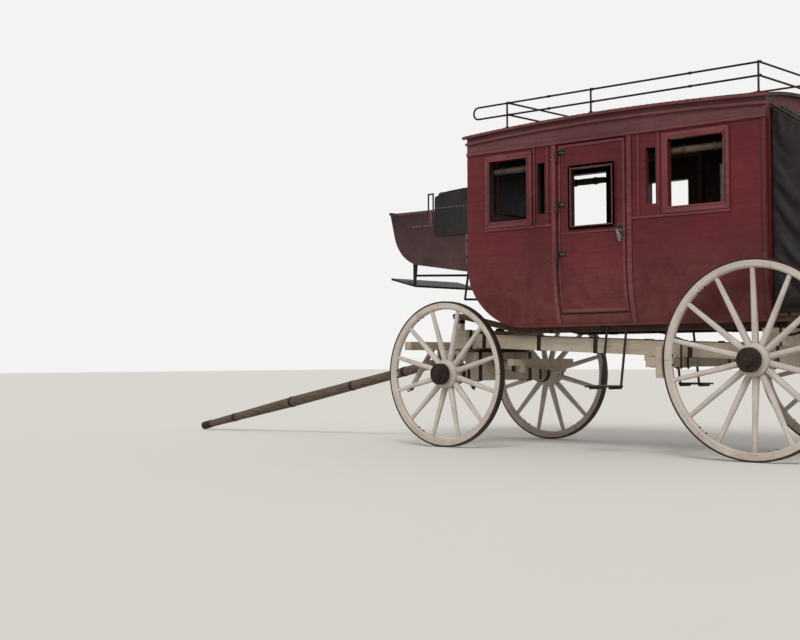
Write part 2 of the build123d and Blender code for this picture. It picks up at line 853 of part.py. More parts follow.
def pole_ferrule():
    length = pole_length()
    start = length - pole_ferrule_length
    inner = pole_tip_radius + seat_gap
    shell = bar(along_pole(start), along_pole(length), inner + pole_ferrule_thick)
    shell -= bar(along_pole(start - 1), along_pole(length + 1), inner)
    wide = pole_butt_width + 2 * seat_gap
    high = pole_butt_height + 2 * seat_gap
    wrap = 2 * pole_ferrule_thick
    band = Box(pole_band_length, wide + wrap, high + wrap) - Box(2 * pole_band_length, wide, high)
    band = on_pole(pole_band_start + pole_band_length / 2) * band
    return Compound(children=[*shell.solids(), *band.solids()])


def pole_bolt():
    pivot, slope = pole_frame()
    end = hound_front_spread + hound_width / 2 + 14
    head = end + 12
    solid = bar((pivot.X, -end, pivot.Z), (pivot.X, end, pivot.Z), pole_bolt_radius)
    solid += bar((pivot.X, end, pivot.Z), (pivot.X, head, pivot.Z), 2 * pole_bolt_radius)
    solid += bar((pivot.X, -head, pivot.Z), (pivot.X, -end, pivot.Z), 2 * pole_bolt_radius)
    return Compound(children=[*solid.solids(), *swingletree_bolts().solids()])


# Leather thoroughbraces and the standards that hold them
def thoroughbraces():
    low = strap_top - strap_thick
    rise_start = toe_start + strap_rise_after_toe
    post_top = upper_ring_top + standard_height + seat_gap
    back = -bolster_back_shift - bolster_width / 2 - 30
    front = transom_front + standard_width + 20
    outline = [
        (back, low), (rise_start, low), (transom_front, post_top), (front, post_top),
        (front, post_top + strap_thick), (transom_front, post_top + strap_thick),
        (rise_start, strap_top), (back, strap_top),
    ]
    half = strap_width / 2
    return both_sides(slab(outline, strap_spread - half, strap_spread + half))


def standards():
    half = standard_width / 2
    post = block(
        transom_front, transom_front + standard_width, strap_spread - half, strap_spread + half,
        upper_ring_top, upper_ring_top + standard_height,
    )
    return both_sides(post)


# Roof rack: a hairpin rail each side inside its posts, and rods across from rail to rail
def rack_rail():
    radius = rack_rod_radius
    turn = rack_rail_gap / 2
    y = rack_half_width
    rear = rack_post_stations[0] - 2 * radius - seat_gap
    front = rack_front_station
    low = bar((rear, y, rack_low_height), (front, y, rack_low_height), radius)
    high = bar((rear, y, rack_top_height), (front, y, rack_top_height), radius)
    circle = Plane(origin=(front, y, rack_low_height), z_dir=(1, 0, 0)) * Circle(radius)
    axis = Axis((front, y, rack_low_height + turn), (0, -1, 0))
    return low + high + revolve(circle, axis=axis, revolution_arc=180)


def rack_posts():
    y = rack_half_width + 2 * rack_rod_radius + seat_gap
    low = roof_edge_height - rack_post_sink
    high = rack_top_height + rack_rod_radius
    posts = []
    for station in rack_post_stations:
        post = bar((station, y, low), (station, y, high), rack_rod_radius)
        posts += (post - below_roof_top()).solids()
    return posts


def roof_rack():
    half = both_sides(Compound(children=[*rack_rail().solids(), *rack_posts()]))
    rods = []
    y = rack_half_width - rack_rod_radius - seat_gap
    for station in (rack_post_stations[0], rack_post_stations[-1]):
        for height in (rack_low_height, rack_top_height):
            rods += bar((station, -y, height), (station, y, height), rack_rod_radius).solids()
    return Compound(children=[*half.solids(), *rods])


# Driver's boot: an open tub with a round under its front
def boot_face(rear, top, y):
    front_run = (boot_rim_station - boot_corner_station) / (boot_rim_height - boot_corner_height)
    bottom_rise = (boot_corner_height - boot_rear_bottom) / (boot_corner_station - boot_back)
    points = [
        (rear, y, boot_rear_bottom + bottom_rise * (rear - boot_back)),
        (boot_corner_station, y, boot_corner_height),
        (boot_corner_station + front_run * (top - boot_corner_height), y, top),
        (rear, y, top),
    ]
    face = make_face(Polyline(*points, close=True).edges())
    corner = face.vertices().filter_by(lambda v: abs(v.X - boot_corner_station) < 0.1)
    return fillet(corner, boot_corner_radius)


def driver_boot():
    wide = boot_half_width
    outer = extrude(boot_face(boot_back, boot_rim_height, -wide), amount=2 * wide, dir=(0, 1, 0))
    past = boot_blank_room
    room = offset(boot_face(boot_back - past, boot_rim_height + past, boot_board - wide), amount=-boot_board)
    inner_wide = wide - boot_board
    tub = outer - extrude(room, amount=2 * inner_wide, dir=(0, 1, 0))
    x, z = boot_rim_station, boot_rim_height
    lip = bar((x, -wide, z), (x, wide, z), boot_lip_radius)
    return tub + lip


def driver_seat():
    wide = boot_half_width
    return block(
        boot_back, boot_back + seat_depth, -wide, wide, boot_rim_height, boot_rim_height + seat_box_height
    )


def driver_cushion():
    wide = boot_half_width - cushion_inset
    low = boot_rim_height + seat_box_height + seat_gap
    pad = block(
        boot_back + cushion_inset, boot_back + seat_depth + driver_cushion_overhang, -wide, wide,
        low, low + driver_cushion_height,
    )
    return fillet(pad.edges().filter_by(Axis.Y), 30)


def seat_rails():
    y = boot_half_width - seat_rail_radius - 4
    x0 = boot_back + seat_depth + driver_cushion_overhang + seat_rail_radius + 8
    x1 = x0 + seat_rail_length
    low = boot_rim_height + seat_gap
    high = low + seat_rail_height
    hoop = bar((x0, y, low), (x0, y, high + seat_rail_radius), seat_rail_radius)
    hoop += bar((x1, y, low), (x1, y, high + seat_rail_radius), seat_rail_radius)
    hoop += bar((x0, y, high), (x1, y, high), seat_rail_radius)
    return both_sides(hoop)


# Irons under the boot: foot plate, its hangers, and the stays back to the cabin's toe
def boot_bottom(station):
    rise = (boot_corner_height - boot_rear_bottom) / (boot_corner_station - boot_back)
    return boot_rear_bottom + rise * (station - boot_back)


def boot_irons():
    tilt = math.radians(foot_plate_tilt)
    run = foot_plate_length * math.cos(tilt)
    lift = foot_plate_length * math.sin(tilt)
    x0, z0 = foot_plate_rear_station, foot_plate_height
    plate = slab([
        (x0, z0 - foot_plate_thick), (x0 + run, z0 + lift - foot_plate_thick),
        (x0 + run, z0 + lift), (x0, z0),
    ], -foot_plate_half_width, foot_plate_half_width)
    y = boot_iron_spread
    hanger_x = x0 + 30
    stay_top = boot_back + 120
    knee = (boot_back + 165, y, toe_top - toe_radius / 2)
    irons = plate
    for side in (-1, 1):
        low = (hanger_x, side * y, z0 - 4)
        high = (hanger_x - 30, side * y, boot_bottom(hanger_x) + 60)
        irons += bar(low, high, boot_iron_radius)
        rod_z = boot_rear_bottom - 18
        irons += bar((stay_top, side * y, rod_z), (hanger_x - 10, side * y, rod_z + 26), boot_iron_radius)
        bend = (knee[0], side * y, knee[2])
        irons += bar((stay_top, side * y, boot_bottom(stay_top) + 20), bend, boot_iron_radius)
        irons += bar(bend, (toe_start, side * y, knee[2] - 30), boot_iron_radius)
        irons += Pos(*bend) * Sphere(boot_iron_radius)
    wide = boot_half_width
    tub = extrude(boot_face(boot_back, boot_rim_height, -wide), amount=2 * wide, dir=(0, 1, 0))
    cabin = toe_outline(-seat_gap, -wide, wide, cornice_bottom)
    return irons - Pos(0, 0, -seat_gap) * tub - cabin


# Rear platform and the leather cover over it
def rear_platform():
    x1 = cover_back
    x0 = x1 - platform_depth
    low, high = floor_bottom, floor_bottom + platform_rail_height
    y1 = platform_half_width - 20
    rail = block(x0, x1, y1 - platform_rail_width, y1, low, high)
    deck = rail + mirrored(rail)
    pitch = platform_depth / platform_slats
    for index in range(platform_slats):
        x = x0 + pitch * index
        deck += block(x, x + pitch - 22, -platform_half_width, platform_half_width, high - 1, platform_top)
    return deck


def cover_solid(inset, wide):
    back = cover_back
    deep = back - platform_depth + inset
    low = platform_top + seat_gap
    top = cover_top - inset
    outline = [
        (back, low), (back, top), (back - cover_shoulder_run, top - cover_shoulder_drop),
        (deep + cover_slope_inset, top - cover_slope_drop), (deep, low + cover_wall_rise), (deep, low),
    ]
    cover = slab(outline, -wide, wide)
    rounded = cover.edges().filter_by(Axis.Y)
    rounded = rounded.filter_by(lambda e: e.center().Z > low + 10 and e.center().X < back - 10)
    return fillet(rounded, cover_corner_radius - inset)


def rear_boot_cover():
    wide = platform_half_width - 4
    room = cover_solid(cover_wall, wide - cover_wall)
    return cover_solid(0, wide) - room


# Benches and cushions inside the cabin
def bench(x0, x1, riser_x):
    inset = cabin_wall + 3
    top = floor_top + bench_height
    room = cabin_prism(inset, x0, x1, cornice_bottom)
    wide = cabin_half_width
    seat = block(x0, x1, -wide, wide, top - bench_board, top)
    riser = block(riser_x, riser_x + bench_board, -wide, wide, floor_top, top)
    return (seat + riser) & room


def rear_bench_span():
    back = cabin_back_station + cabin_wall + seat_gap
    return back, back + bench_depth


def front_bench_span():
    top = floor_top + bench_height
    inner = toe_radius - cabin_wall
    reach = toe_start + math.sqrt(inner ** 2 - (toe_top - top + bench_board) ** 2) - 2
    return toe_start - 40, reach


def cabin_benches():
    x0, x1 = rear_bench_span()
    rear = bench(x0, x1, x1 - bench_board)
    x0, x1 = front_bench_span()
    front = bench(x0, x1, x0)
    return Compound(children=[*rear.solids(), *front.solids()])


def cabin_cushions():
    low = floor_top + bench_height + seat_gap
    wide = half_width(low, cabin_wall) - cushion_inset
    pads = []
    x0, x1 = rear_bench_span()
    pads += block(x0 + seat_gap, x1 + cushion_inset, -wide, wide, low, low + cushion_thick).solids()
    back_low = low + cushion_thick + cushion_inset
    wall = cabin_half_width - cabin_wall - cushion_inset
    back_high = back_low + backrest_height
    pads += block(x0 + seat_gap, x0 + backrest_thick, -wall, wall, back_low, back_high).solids()
    x0, x1 = front_bench_span()
    pads += block(x0 - cushion_inset, x1 - 8, -wide, wide, low, low + cushion_thick).solids()
    front_wall = cabin_front_station - cabin_wall - 2 * seat_gap
    pads += block(
        front_wall - backrest_thick, front_wall, -wall, wall, back_low, back_low + backrest_height
    ).solids()
    return Compound(children=pads)


def window_curtains():
    rolls = []
    y = cabin_half_width - cabin_wall - curtain_radius - seat_gap
    for name, x0, x1, low, high, framed in side_windows:
        if framed:
            z = high - curtain_drop
            rolls += bar((x0 - 20, y, z), (x1 + 20, y, z), curtain_radius).solids()
    return both_sides(Compound(children=rolls))


# Steps under the doors, on hangers that turn in beneath the tread
def steps():
    x0 = step_station - step_length / 2
    x1 = step_station + step_length / 2
    y1 = step_outer_reach
    y0 = y1 - step_width
    tread = block(x0, x1, y0, y1, step_height - step_thick, step_height)
    low_z = step_height - step_thick - step_iron_radius / 2
    knee_y = y0 - 1.4 * step_iron_radius
    top_y = half_width(floor_bottom) - 16
    for x in (x0 + 30, x1 - 30):
        tread += bar((x, knee_y, low_z), (x, y1 - 30, low_z), step_iron_radius)
        tread += Pos(x, knee_y, low_z) * Sphere(step_iron_radius)
        tread += bar((x, knee_y, low_z), (x, top_y, floor_bottom + cut_room), step_iron_radius)
    return both_sides(tread & block(x0, x1, 0, y1, 0, floor_bottom - seat_gap))


# Brake beam under the perches with a hollowed shoe ahead of each rear tyre
def brake_beam():
    back = brake_beam_station - brake_beam_width / 2
    front = brake_beam_station + brake_beam_width / 2
    top = perch_z(back) - perch_height / 2 - seat_gap
    beam = block(
        back, front, -brake_beam_half_span, brake_beam_half_span, top - brake_beam_height, top
    )
    face = rear_wheel_radius + brake_gap
    y = track / 2
    half = brake_shoe_width / 2
    middle = top - brake_beam_height / 2
    for side in (-1, 1):
        beam += block(
            rear_wheel_radius - 40, back + 1, side * y - half, side * y + half,
            middle - brake_shoe_height / 2, middle + brake_shoe_height / 2,
        )
    wheel = bar((0, -track, rear_wheel_radius), (0, track, rear_wheel_radius), face)
    return beam - wheel


# Brake lever on the right of the boot, with a rod back to the end of the beam
def brake_lever():
    x = boot_back + lever_pivot_reach
    inner = boot_half_width + seat_gap
    outer = inner + lever_thick
    foot = (x - lever_lean, lever_foot_height)
    top = (x + lever_lean, lever_top_height)
    pivot = (x, lever_pivot_height)
    outline = [
        (foot[0] - lever_foot_width / 2, foot[1]), (foot[0] + lever_foot_width / 2, foot[1]),
        (pivot[0] + lever_foot_width / 2, pivot[1]), (top[0] + lever_top_width / 2, top[1]),
        (top[0] - lever_top_width / 2, top[1]), (pivot[0] - lever_foot_width / 2, pivot[1]),
    ]
    lever = slab(outline, -outer, -inner)
    lever += bar((x, -outer - 8, pivot[1]), (x, -outer + 1, pivot[1]), lever_boss_radius)
    lean = 2 * lever_lean * lever_grip_length / (lever_top_height - lever_foot_height)
    grip_y = -(inner + outer) / 2
    grip_top = (top[0] + lean, grip_y, top[1] + lever_grip_length)
    lever += bar((top[0], grip_y, top[1] - 12), grip_top, lever_grip_radius * 0.7, lever_grip_radius)
    eye = (foot[0], foot[1] + lever_foot_width / 2)
    rod_y = -outer - seat_gap - lever_thick / 2
    ring = bar((eye[0], rod_y - 7, eye[1]), (eye[0], rod_y + lever_thick / 2, eye[1]), lever_boss_radius)
    top_of_beam = perch_z(brake_beam_station - brake_beam_width / 2) - perch_height / 2 - seat_gap
    beam_end = (
        brake_beam_station + brake_beam_width / 2 + seat_gap, -brake_beam_half_span + 40,
        top_of_beam - brake_beam_height / 2,
    )
    rod = ring + bar((eye[0], rod_y, eye[1]), beam_end, brake_rod_radius)
    rod &= block(beam_end[0], eye[0] + 100, -brake_beam_half_span, -outer - seat_gap, 0, lever_pivot_height)
    grip_room = block(boot_back, boot_rim_station + 200, -inner, 0, boot_rear_bottom, cornice_bottom)
    return Compound(children=[*(lever - grip_room).solids(), *rod.solids()])


pieces = {
    "perch_beams": perch_beams(),
    "rear_axle_bed": axle_bed(0, rear_bed_top - rear_bed_height, rear_bed_top),
    "rear_axle_arms": axle_arms(0, rear_wheel_radius),
    "rear_bolster": rear_bolster(),
    "front_transom": front_transom(),
    "upper_ring": turntable_ring(upper_ring_top - ring_thick),
    "standards": standards(),
    "thoroughbraces": thoroughbraces(),
    "cabin_floor": cabin_floor(),
    "cabin_front": cabin_front(),
    "cabin_back": cabin_back(),
    "cabin_roof": cabin_roof(),
    "roof_rack": roof_rack(),
    "driver_boot": driver_boot(),
    "boot_irons": boot_irons(),
    "driver_seat": driver_seat(),
    "driver_cushion": driver_cushion(),
    "seat_rails": seat_rails(),
    "rear_platform": rear_platform(),
    "rear_boot_cover": rear_boot_cover(),
    "cabin_benches": cabin_benches(),
    "cabin_cushions": cabin_cushions(),
    "window_curtains": window_curtains(),
    "steps": steps(),
    "brake_beam": brake_beam(),
    "brake_lever": brake_lever(),
    "door_pintles": door_pintles(),
    "front_axle_bed": axle_bed(wheelbase, front_bed_top - front_bed_height, front_bed_top),
    "front_axle_arms": axle_arms(wheelbase, front_wheel_radius),
    "lower_bolster": lower_bolster(),
    "lower_ring": turntable_ring(lower_bolster_top),
    "king_pin": king_pin(),
    "hounds": hounds(),
    "swingletrees": swingletrees(),
    "pole_bolt": pole_bolt(),
    "pole_shaft": pole_shaft(),
    "pole_ferrule": pole_ferrule(),
}

# Pieces that come as a left and a right one
for side_name in ("left", "right"):
    turn = mirrored if side_name == "right" else lambda solid: solid
    pieces[f"front_quarter_{side_name}"] = turn(quarter_panel(door_front_station, cabin_front_station))
    pieces[f"rear_quarter_{side_name}"] = turn(quarter_panel(cabin_back_station, door_rear_station))
    pieces[f"cornice_{side_name}"] = turn(cornice())
    pieces[f"door_{side_name}"] = turn(door_leaf())
    pieces[f"door_irons_{side_name}"] = turn(door_irons())
    for end, radius, spokes, station in (
        ("rear", rear_rim_radius, rear_spokes, 0.0),
        ("front", front_rim_radius, front_spokes, wheelbase),
    ):
        for kind, solid in wheel_pieces(radius, spokes, station, side_name).items():
            pieces[f"{end}_wheel_{kind}_{side_name}"] = solid

# The coach stands over the middle of its length
for node, solid in pieces.items():
    export_step(Pos(-middle_station(), 0, 0) * solid, f"parts/{node}.step")
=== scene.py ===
import math
import random

import bmesh
import bpy
from mathutils import Matrix, Vector


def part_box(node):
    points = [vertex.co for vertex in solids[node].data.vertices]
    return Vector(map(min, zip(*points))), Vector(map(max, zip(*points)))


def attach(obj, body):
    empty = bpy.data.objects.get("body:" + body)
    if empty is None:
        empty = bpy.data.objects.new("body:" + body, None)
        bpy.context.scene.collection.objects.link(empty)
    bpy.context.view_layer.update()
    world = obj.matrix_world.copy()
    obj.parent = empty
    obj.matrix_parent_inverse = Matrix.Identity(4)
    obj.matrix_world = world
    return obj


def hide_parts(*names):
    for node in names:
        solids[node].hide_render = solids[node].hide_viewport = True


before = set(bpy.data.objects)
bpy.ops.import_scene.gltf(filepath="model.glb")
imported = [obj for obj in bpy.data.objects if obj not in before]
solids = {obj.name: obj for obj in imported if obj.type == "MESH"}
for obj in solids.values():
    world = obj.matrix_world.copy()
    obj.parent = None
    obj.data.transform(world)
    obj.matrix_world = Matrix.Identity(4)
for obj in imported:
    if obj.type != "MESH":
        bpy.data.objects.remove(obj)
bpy.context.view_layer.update()        # the coach's solids, each with its placing applied and no parent
print("frame loaded:", len(solids), "solids")

# Metres throughout. +X is forward to the pole's tip, +Y the coach's left, +Z up.
# Stations are metres forward of the rear axle.
rearAxleX = (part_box("rear_axle_bed")[0].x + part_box("rear_axle_bed")[1].x) / 2
frontAxle = 2.860        # station of the front axle
wheelY = 0.760           # middle of the wheels' tread
sideY = 0.600            # outer face of the cabin's sides
sides = (("left", 1), ("right", -1))


def at(station):
    return rearAxleX + station


# ---- small helpers for working by hand ----
def objectMode():
    if bpy.context.object and bpy.context.object.mode != "OBJECT":
        bpy.ops.object.mode_set(mode="OBJECT")


def nothingSelected():
    objectMode()
    bpy.ops.object.select_all(action="DESELECT")


def makeActive(piece):
    nothingSelected()
    piece.select_set(True)
    bpy.context.view_layer.objects.active = piece


def editPiece(piece, kind=None, action="SELECT"):
    makeActive(piece)
    bpy.ops.object.mode_set(mode="EDIT")
    if kind:
        bpy.ops.mesh.select_mode(type=kind)
    bpy.ops.mesh.select_all(action=action)


def settle(piece, name):
    makeActive(piece)
    bpy.ops.object.transform_apply(location=True, rotation=True, scale=True)
    piece.name = piece.data.name = name
    return piece


def addBlock(name, low, high):
    nothingSelected()
    middle = [(a + b) / 2 for a, b in zip(low, high)]
    size = [abs(b - a) for a, b in zip(low, high)]
    bpy.ops.mesh.primitive_cube_add(size=1, location=middle, scale=size)
    return settle(bpy.context.object, name)


def addRod(name, start, end, radius, around=20):
    nothingSelected()
    start, end = Vector(start), Vector(end)
    run = end - start
    turn = run.to_track_quat("Z", "Y").to_euler()
    bpy.ops.mesh.primitive_cylinder_add(
        vertices=around, radius=radius, depth=run.length, location=(start + end) / 2, rotation=turn)
    return settle(bpy.context.object, name)


def curveMesh(name, points, closed, **settings):
    curve = bpy.data.curves.new(name, "CURVE")
    for key, value in settings.items():
        setattr(curve, key, value)
    spline = curve.splines.new("POLY")
    spline.points.add(len(points) - 1)
    for point, place in zip(spline.points, points):
        point.co = (*place, 1)
    spline.use_cyclic_u = closed
    run = bpy.data.objects.new(name, curve)
    bpy.context.scene.collection.objects.link(run)
    makeActive(run)
    bpy.ops.object.convert(target="MESH")
    return bpy.context.object


def addRun(name, points, radius, closed=False, rounds=3):
    # a round cord or bent rod through the points
    return smooth(curveMesh(name, points, closed, dimensions="3D", bevel_depth=radius,
                            bevel_resolution=rounds, use_fill_caps=True), 60)


def addBand(name, points, middle, width, thick, across="Y", closed=False):
    # a flat strap along (x, z) points, as wide as it is across the coach, or along (y, z) points round it
    band = curveMesh(name, [(place[0], place[1], 0) for place in points], closed, dimensions="2D",
                     fill_mode="NONE", extrude=width / 2 - thick / 2, bevel_depth=thick / 2,
                     bevel_resolution=1)
    if across == "Y":
        turn = Matrix(((1, 0, 0, 0), (0, 0, -1, middle), (0, 1, 0, 0), (0, 0, 0, 1)))
    else:
        turn = Matrix(((0, 0, 1, middle), (1, 0, 0, 0), (0, 1, 0, 0), (0, 0, 0, 1)))
    band.data.transform(turn)
    editPiece(band)
    bpy.ops.mesh.remove_doubles(threshold=0.00005)
    bpy.ops.mesh.select_mode(type="EDGE")
    bpy.ops.mesh.select_all(action="DESELECT")
    bpy.ops.mesh.select_non_manifold()
    if not closed:
        bpy.ops.mesh.edge_face_add()
    bpy.ops.mesh.select_all(action="SELECT")
    bpy.ops.mesh.normals_make_consistent(inside=False)
    objectMode()
    return smooth(band, 40)


def selectFaces(piece, test):
    editPiece(piece, "FACE", "DESELECT")
    shell = bmesh.from_edit_mesh(piece.data)
    shell.normal_update()
    for face in shell.faces:
        face.select_set(bool(test(face.calc_center_median(), face.normal)))
    bmesh.update_edit_mesh(piece.data)


def selectEdges(piece, test):
    editPiece(piece, "EDGE", "DESELECT")
    shell = bmesh.from_edit_mesh(piece.data)
    for edge in shell.edges:
        edge.select_set(bool(test(edge.verts[0].co, edge.verts[1].co)))
    bmesh.update_edit_mesh(piece.data)


def cutEdges(piece, test, cuts):
    selectEdges(piece, test)
    bpy.ops.mesh.subdivide(number_cuts=cuts)
    objectMode()


def pushOut(move):
    bpy.ops.mesh.extrude_region_move(TRANSFORM_OT_translate={"value": move})


def applyModifier(piece, kind, **settings):
    makeActive(piece)
    modifier = piece.modifiers.new(kind.title(), kind)
    for key, value in settings.items():
        setattr(modifier, key, value)
    bpy.ops.object.modifier_apply(modifier=modifier.name)


def smooth(piece, angle=35):
    makeActive(piece)
    bpy.ops.object.shade_smooth_by_angle(angle=math.radians(angle))
    return piece


def softenEdges(piece, width, segments=2, angle=35):
    applyModifier(piece, "BEVEL", width=width, segments=segments, limit_method="ANGLE",
                  angle_limit=math.radians(angle), use_clamp_overlap=True)
    return smooth(piece)


def softBlock(name, low, high, eased):
    # a block with eased edges, placed by stations
    return softenEdges(addBlock(name, (at(low[0]), *low[1:]), (at(high[0]), *high[1:])), eased)


def repairNormals(piece):
    editPiece(piece)
    bpy.ops.mesh.remove_doubles(threshold=0.00001)
    bpy.ops.mesh.normals_make_consistent(inside=False)
    objectMode()


def joinPieces(name, pieces):
    nothingSelected()
    for piece in pieces:
        piece.select_set(True)
    bpy.context.view_layer.objects.active = pieces[0]
    if len(pieces) > 1:
        bpy.ops.object.join()
    pieces[0].name = pieces[0].data.name = name
    return pieces[0]


def moved(piece, matrix):
    piece.data.transform(matrix)
    return piece


def placedCopy(piece, matrix=Matrix.Identity(4)):
    copy = piece.copy()
    copy.data = piece.data.copy()
    bpy.context.scene.collection.objects.link(copy)
    return moved(copy, matrix)


def placedCopies(name, piece, matrices):
    copies = [placedCopy(piece, matrix) for matrix in matrices]
    bpy.data.objects.remove(piece)
    return joinPieces(name, copies)


def mirroredCopy(piece, name):
    makeActive(piece)
    bpy.ops.object.duplicate()
    copy = bpy.context.object
    bpy.ops.transform.resize(value=(1, -1, 1), center_override=(0, 0, 0))
    settle(copy, name)
    editPiece(copy)
    bpy.ops.mesh.normals_make_consistent(inside=False)
    objectMode()
    return copy


def standing(place, direction=(0, 0, 1), roll=0.0):
    # where a piece made on the ground goes when its top is to face the direction
    turn = Vector(direction).to_track_quat("Z", "Y").to_matrix().to_4x4()
    return Matrix.Translation(place) @ turn @ Matrix.Rotation(roll, 4, "Z")


def facingOut(places):
    # on the coach's side, each turned a little at random
    return [standing((at(x), y, z), (0, 1, 0), random.uniform(0, 3.1)) for x, y, z in places]


def domeHead(name, radius, height, around=12):
    nothingSelected()
    bpy.ops.mesh.primitive_cylinder_add(vertices=around, radius=radius, depth=height * 1.5,
                                        location=(0, 0, height / 4))
    head = settle(bpy.context.object, name)
    selectEdges(head, lambda a, b: a.z > height * 0.9 and b.z > height * 0.9)
    bpy.ops.mesh.bevel(offset=min(height * 0.9, radius * 0.6), segments=2)
    objectMode()
    return smooth(head, 50)


def nutHead(name, across, height, corners=4):
    # a square or six-sided nut on its washer, with the bolt's end through it
    nothingSelected()
    bpy.ops.mesh.primitive_cylinder_add(vertices=corners, radius=across * 0.62, depth=height,
                                        location=(0, 0, height / 2))
    nut = softenEdges(settle(bpy.context.object, name), across * 0.07, 1)
    washer = addRod(name + "_washer", (0, 0, -0.002), (0, 0, height * 0.22), across * 0.8, 14)
    stem = addRod(name + "_stem", (0, 0, height * 0.6), (0, 0, height * 1.4), across * 0.3, 8)
    selectFaces(stem, lambda centre, normal: normal.z > 0.9)
    bpy.ops.mesh.bevel(offset=across * 0.06, segments=1)
    objectMode()
    return joinPieces(name, [nut, washer, stem])


def roundedCorners(points, radius, steps=6):
    # the same line with each corner turned by an arc
    rounded = [Vector(points[0])]
    for before, corner, after in zip(points, points[1:], points[2:]):
        back, on = Vector(before) - Vector(corner), Vector(after) - Vector(corner)
        half = back.angle(on) / 2
        reach = min(radius / math.tan(half), back.length * 0.48, on.length * 0.48)
        corner = Vector(corner)
        start, end = corner + back.normalized() * reach, corner + on.normalized() * reach
        for step in range(steps + 1):
            t = step / steps
            rounded.append(start * (1 - t) ** 2 + corner * 2 * t * (1 - t) + end * t * t)
    rounded.append(Vector(points[-1]))
    return rounded


def loopPoints(wide, high, corner, steps=5):
    # a rounded oblong about the origin
    points = []
    for cx, cy, start in ((1, 1, 0), (-1, 1, 90), (-1, -1, 180), (1, -1, 270)):
        for step in range(steps + 1):
            angle = math.radians(start + 90 * step / steps)
            points.append((cx * (wide / 2 - corner) + corner * math.cos(angle),
                           cy * (high / 2 - corner) + corner * math.sin(angle)))
    return points


def clipAround(name, place, tall, deep, wide, thick, across="Y", tilt=0.0):
    # an iron band round a beam; tall and deep are the beam's own, place its middle
    loop = loopPoints(deep + thick, tall + thick, thick * 0.9, 2)
    clip = addBand(name, loop, 0, wide, thick, across, closed=True)
    return moved(clip, Matrix.Translation(place) @ Matrix.Rotation(tilt, 4, "Y"))


def finishPiece(piece, body, material, replaces=()):
    piece.data.materials.clear()
    piece.data.materials.append(material)
    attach(piece, body)
    if replaces:
        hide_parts(*replaces)
    return piece


def finishBoth(left, body, material, replaces=()):
    # the left piece and its twin on the right; a body that ends in _ has one for each side
    right = mirroredCopy(left, left.name.replace("_left", "_right"))
    for piece, side in ((left, "left"), (right, "right")):
        finishPiece(piece, body + side if body.endswith("_") else body, material,
                    replaces if piece == left else ())


# ---- materials ----
def colour(red, green, blue):
    def channel(value):
        share = value / 255
        return share / 12.92 if share <= 0.04045 else ((share + 0.055) / 1.055) ** 2.4
    return (channel(red), channel(green), channel(blue), 1)


class Finish:
    # a node material, built up a node at a time
    def __init__(self, name):
        self.material = bpy.data.materials.new(name)
        self.material.use_nodes = True
        self.tree = self.material.node_tree
        self.shader = self.tree.nodes["Principled BSDF"]
        self.shader.inputs["Specular IOR Level"].default_value = 0.24
        self.where = self.tree.nodes.new("ShaderNodeTexCoord").outputs["Object"]

    def wire(self, value, socket):
        if isinstance(value, bpy.types.NodeSocket):
            self.tree.links.new(value, socket)
        else:
            socket.default_value = value

    def node(self, kind, values={}, **settings):
        made = self.tree.nodes.new("ShaderNode" + kind)
        for key, value in settings.items():
            setattr(made, key, value)
        for socket, value in values.items():
            self.wire(value, made.inputs[socket])
        return made

    def mapped(self, scale=(1, 1, 1), place=(0, 0, 0), turn=(0, 0, 0)):
        return self.node("Mapping", {"Vector": self.where, "Scale": scale, "Location": place,
                                     "Rotation": turn}).outputs["Vector"]

    def noise(self, scale, detail=4, rough=0.55, where=None, twist=0.0):
        return self.node("TexNoise", {"Vector": where or self.where, "Scale": scale, "Detail": detail,
                                      "Roughness": rough, "Distortion": twist}).outputs["Fac"]

    def cells(self, scale):
        return self.node("TexVoronoi", {"Vector": self.where, "Scale": scale},
                         feature="DISTANCE_TO_EDGE").outputs["Distance"]

    def between(self, value, low, high, toLow=0.0, toHigh=1.0):
        return self.node("MapRange", {"Value": value, "From Min": low, "From Max": high, "To Min": toLow,
                                      "To Max": toHigh}, clamp=True).outputs["Result"]

    def calc(self, operation, *values):
        return self.node("Math", dict(enumerate(values)), operation=operation).outputs[0]

    def times(self, first, second):
        return self.calc("MULTIPLY", first, second)

    def plus(self, first, second):
        return self.calc("ADD", first, second)

    def minus(self, first, second):
        return self.calc("SUBTRACT", first, second)

    def blend(self, share, first, second):
        mix = self.node("Mix", {"Factor": share, "A": first, "B": second}, data_type="RGBA")
        return mix.outputs["Result"]

    def tones(self, share, first, second):
        return self.blend(share, colour(*first), colour(*second))

    def over(self, paint, share, tone):
        return self.blend(share, paint, colour(*tone))

    def axes(self, where=None):
        return self.node("SeparateXYZ", {0: where or self.where}).outputs

    def pack(self, *values):
        return self.node("CombineXYZ", dict(enumerate(values))).outputs[0]

    def edges(self, radius):
        # bright where a rounded edge would turn away from the flat face
        bevel = self.node("Bevel", {"Radius": radius}, samples=6)
        facing = self.node("NewGeometry")
        dot = self.node("VectorMath", {0: bevel.outputs["Normal"], 1: facing.outputs["Normal"]},
                        operation="DOT_PRODUCT")
        return self.between(dot.outputs["Value"], 0.99, 0.86)

    def rubbed(self, radius, patches, low, high):
        # edges worn bare here and there
        return self.times(self.edges(radius), self.between(self.noise(patches, 6, 0.7), low, high))

    def mixed(self, first, firstShare, second, secondShare):
        return self.plus(self.times(first, firstShare), self.times(second, secondShare))

    def done(self, paint, rough, height=None, strength=0.0, depth=0.003, metal=0.0):
        self.wire(paint, self.shader.inputs["Base Color"])
        self.wire(rough, self.shader.inputs["Roughness"])
        self.shader.inputs["Metallic"].default_value = metal
        if height:
            bump = self.node("Bump", {"Strength": strength, "Distance": depth, "Height": height})
            self.wire(bump.outputs["Normal"], self.shader.inputs["Normal"])
        return self.material


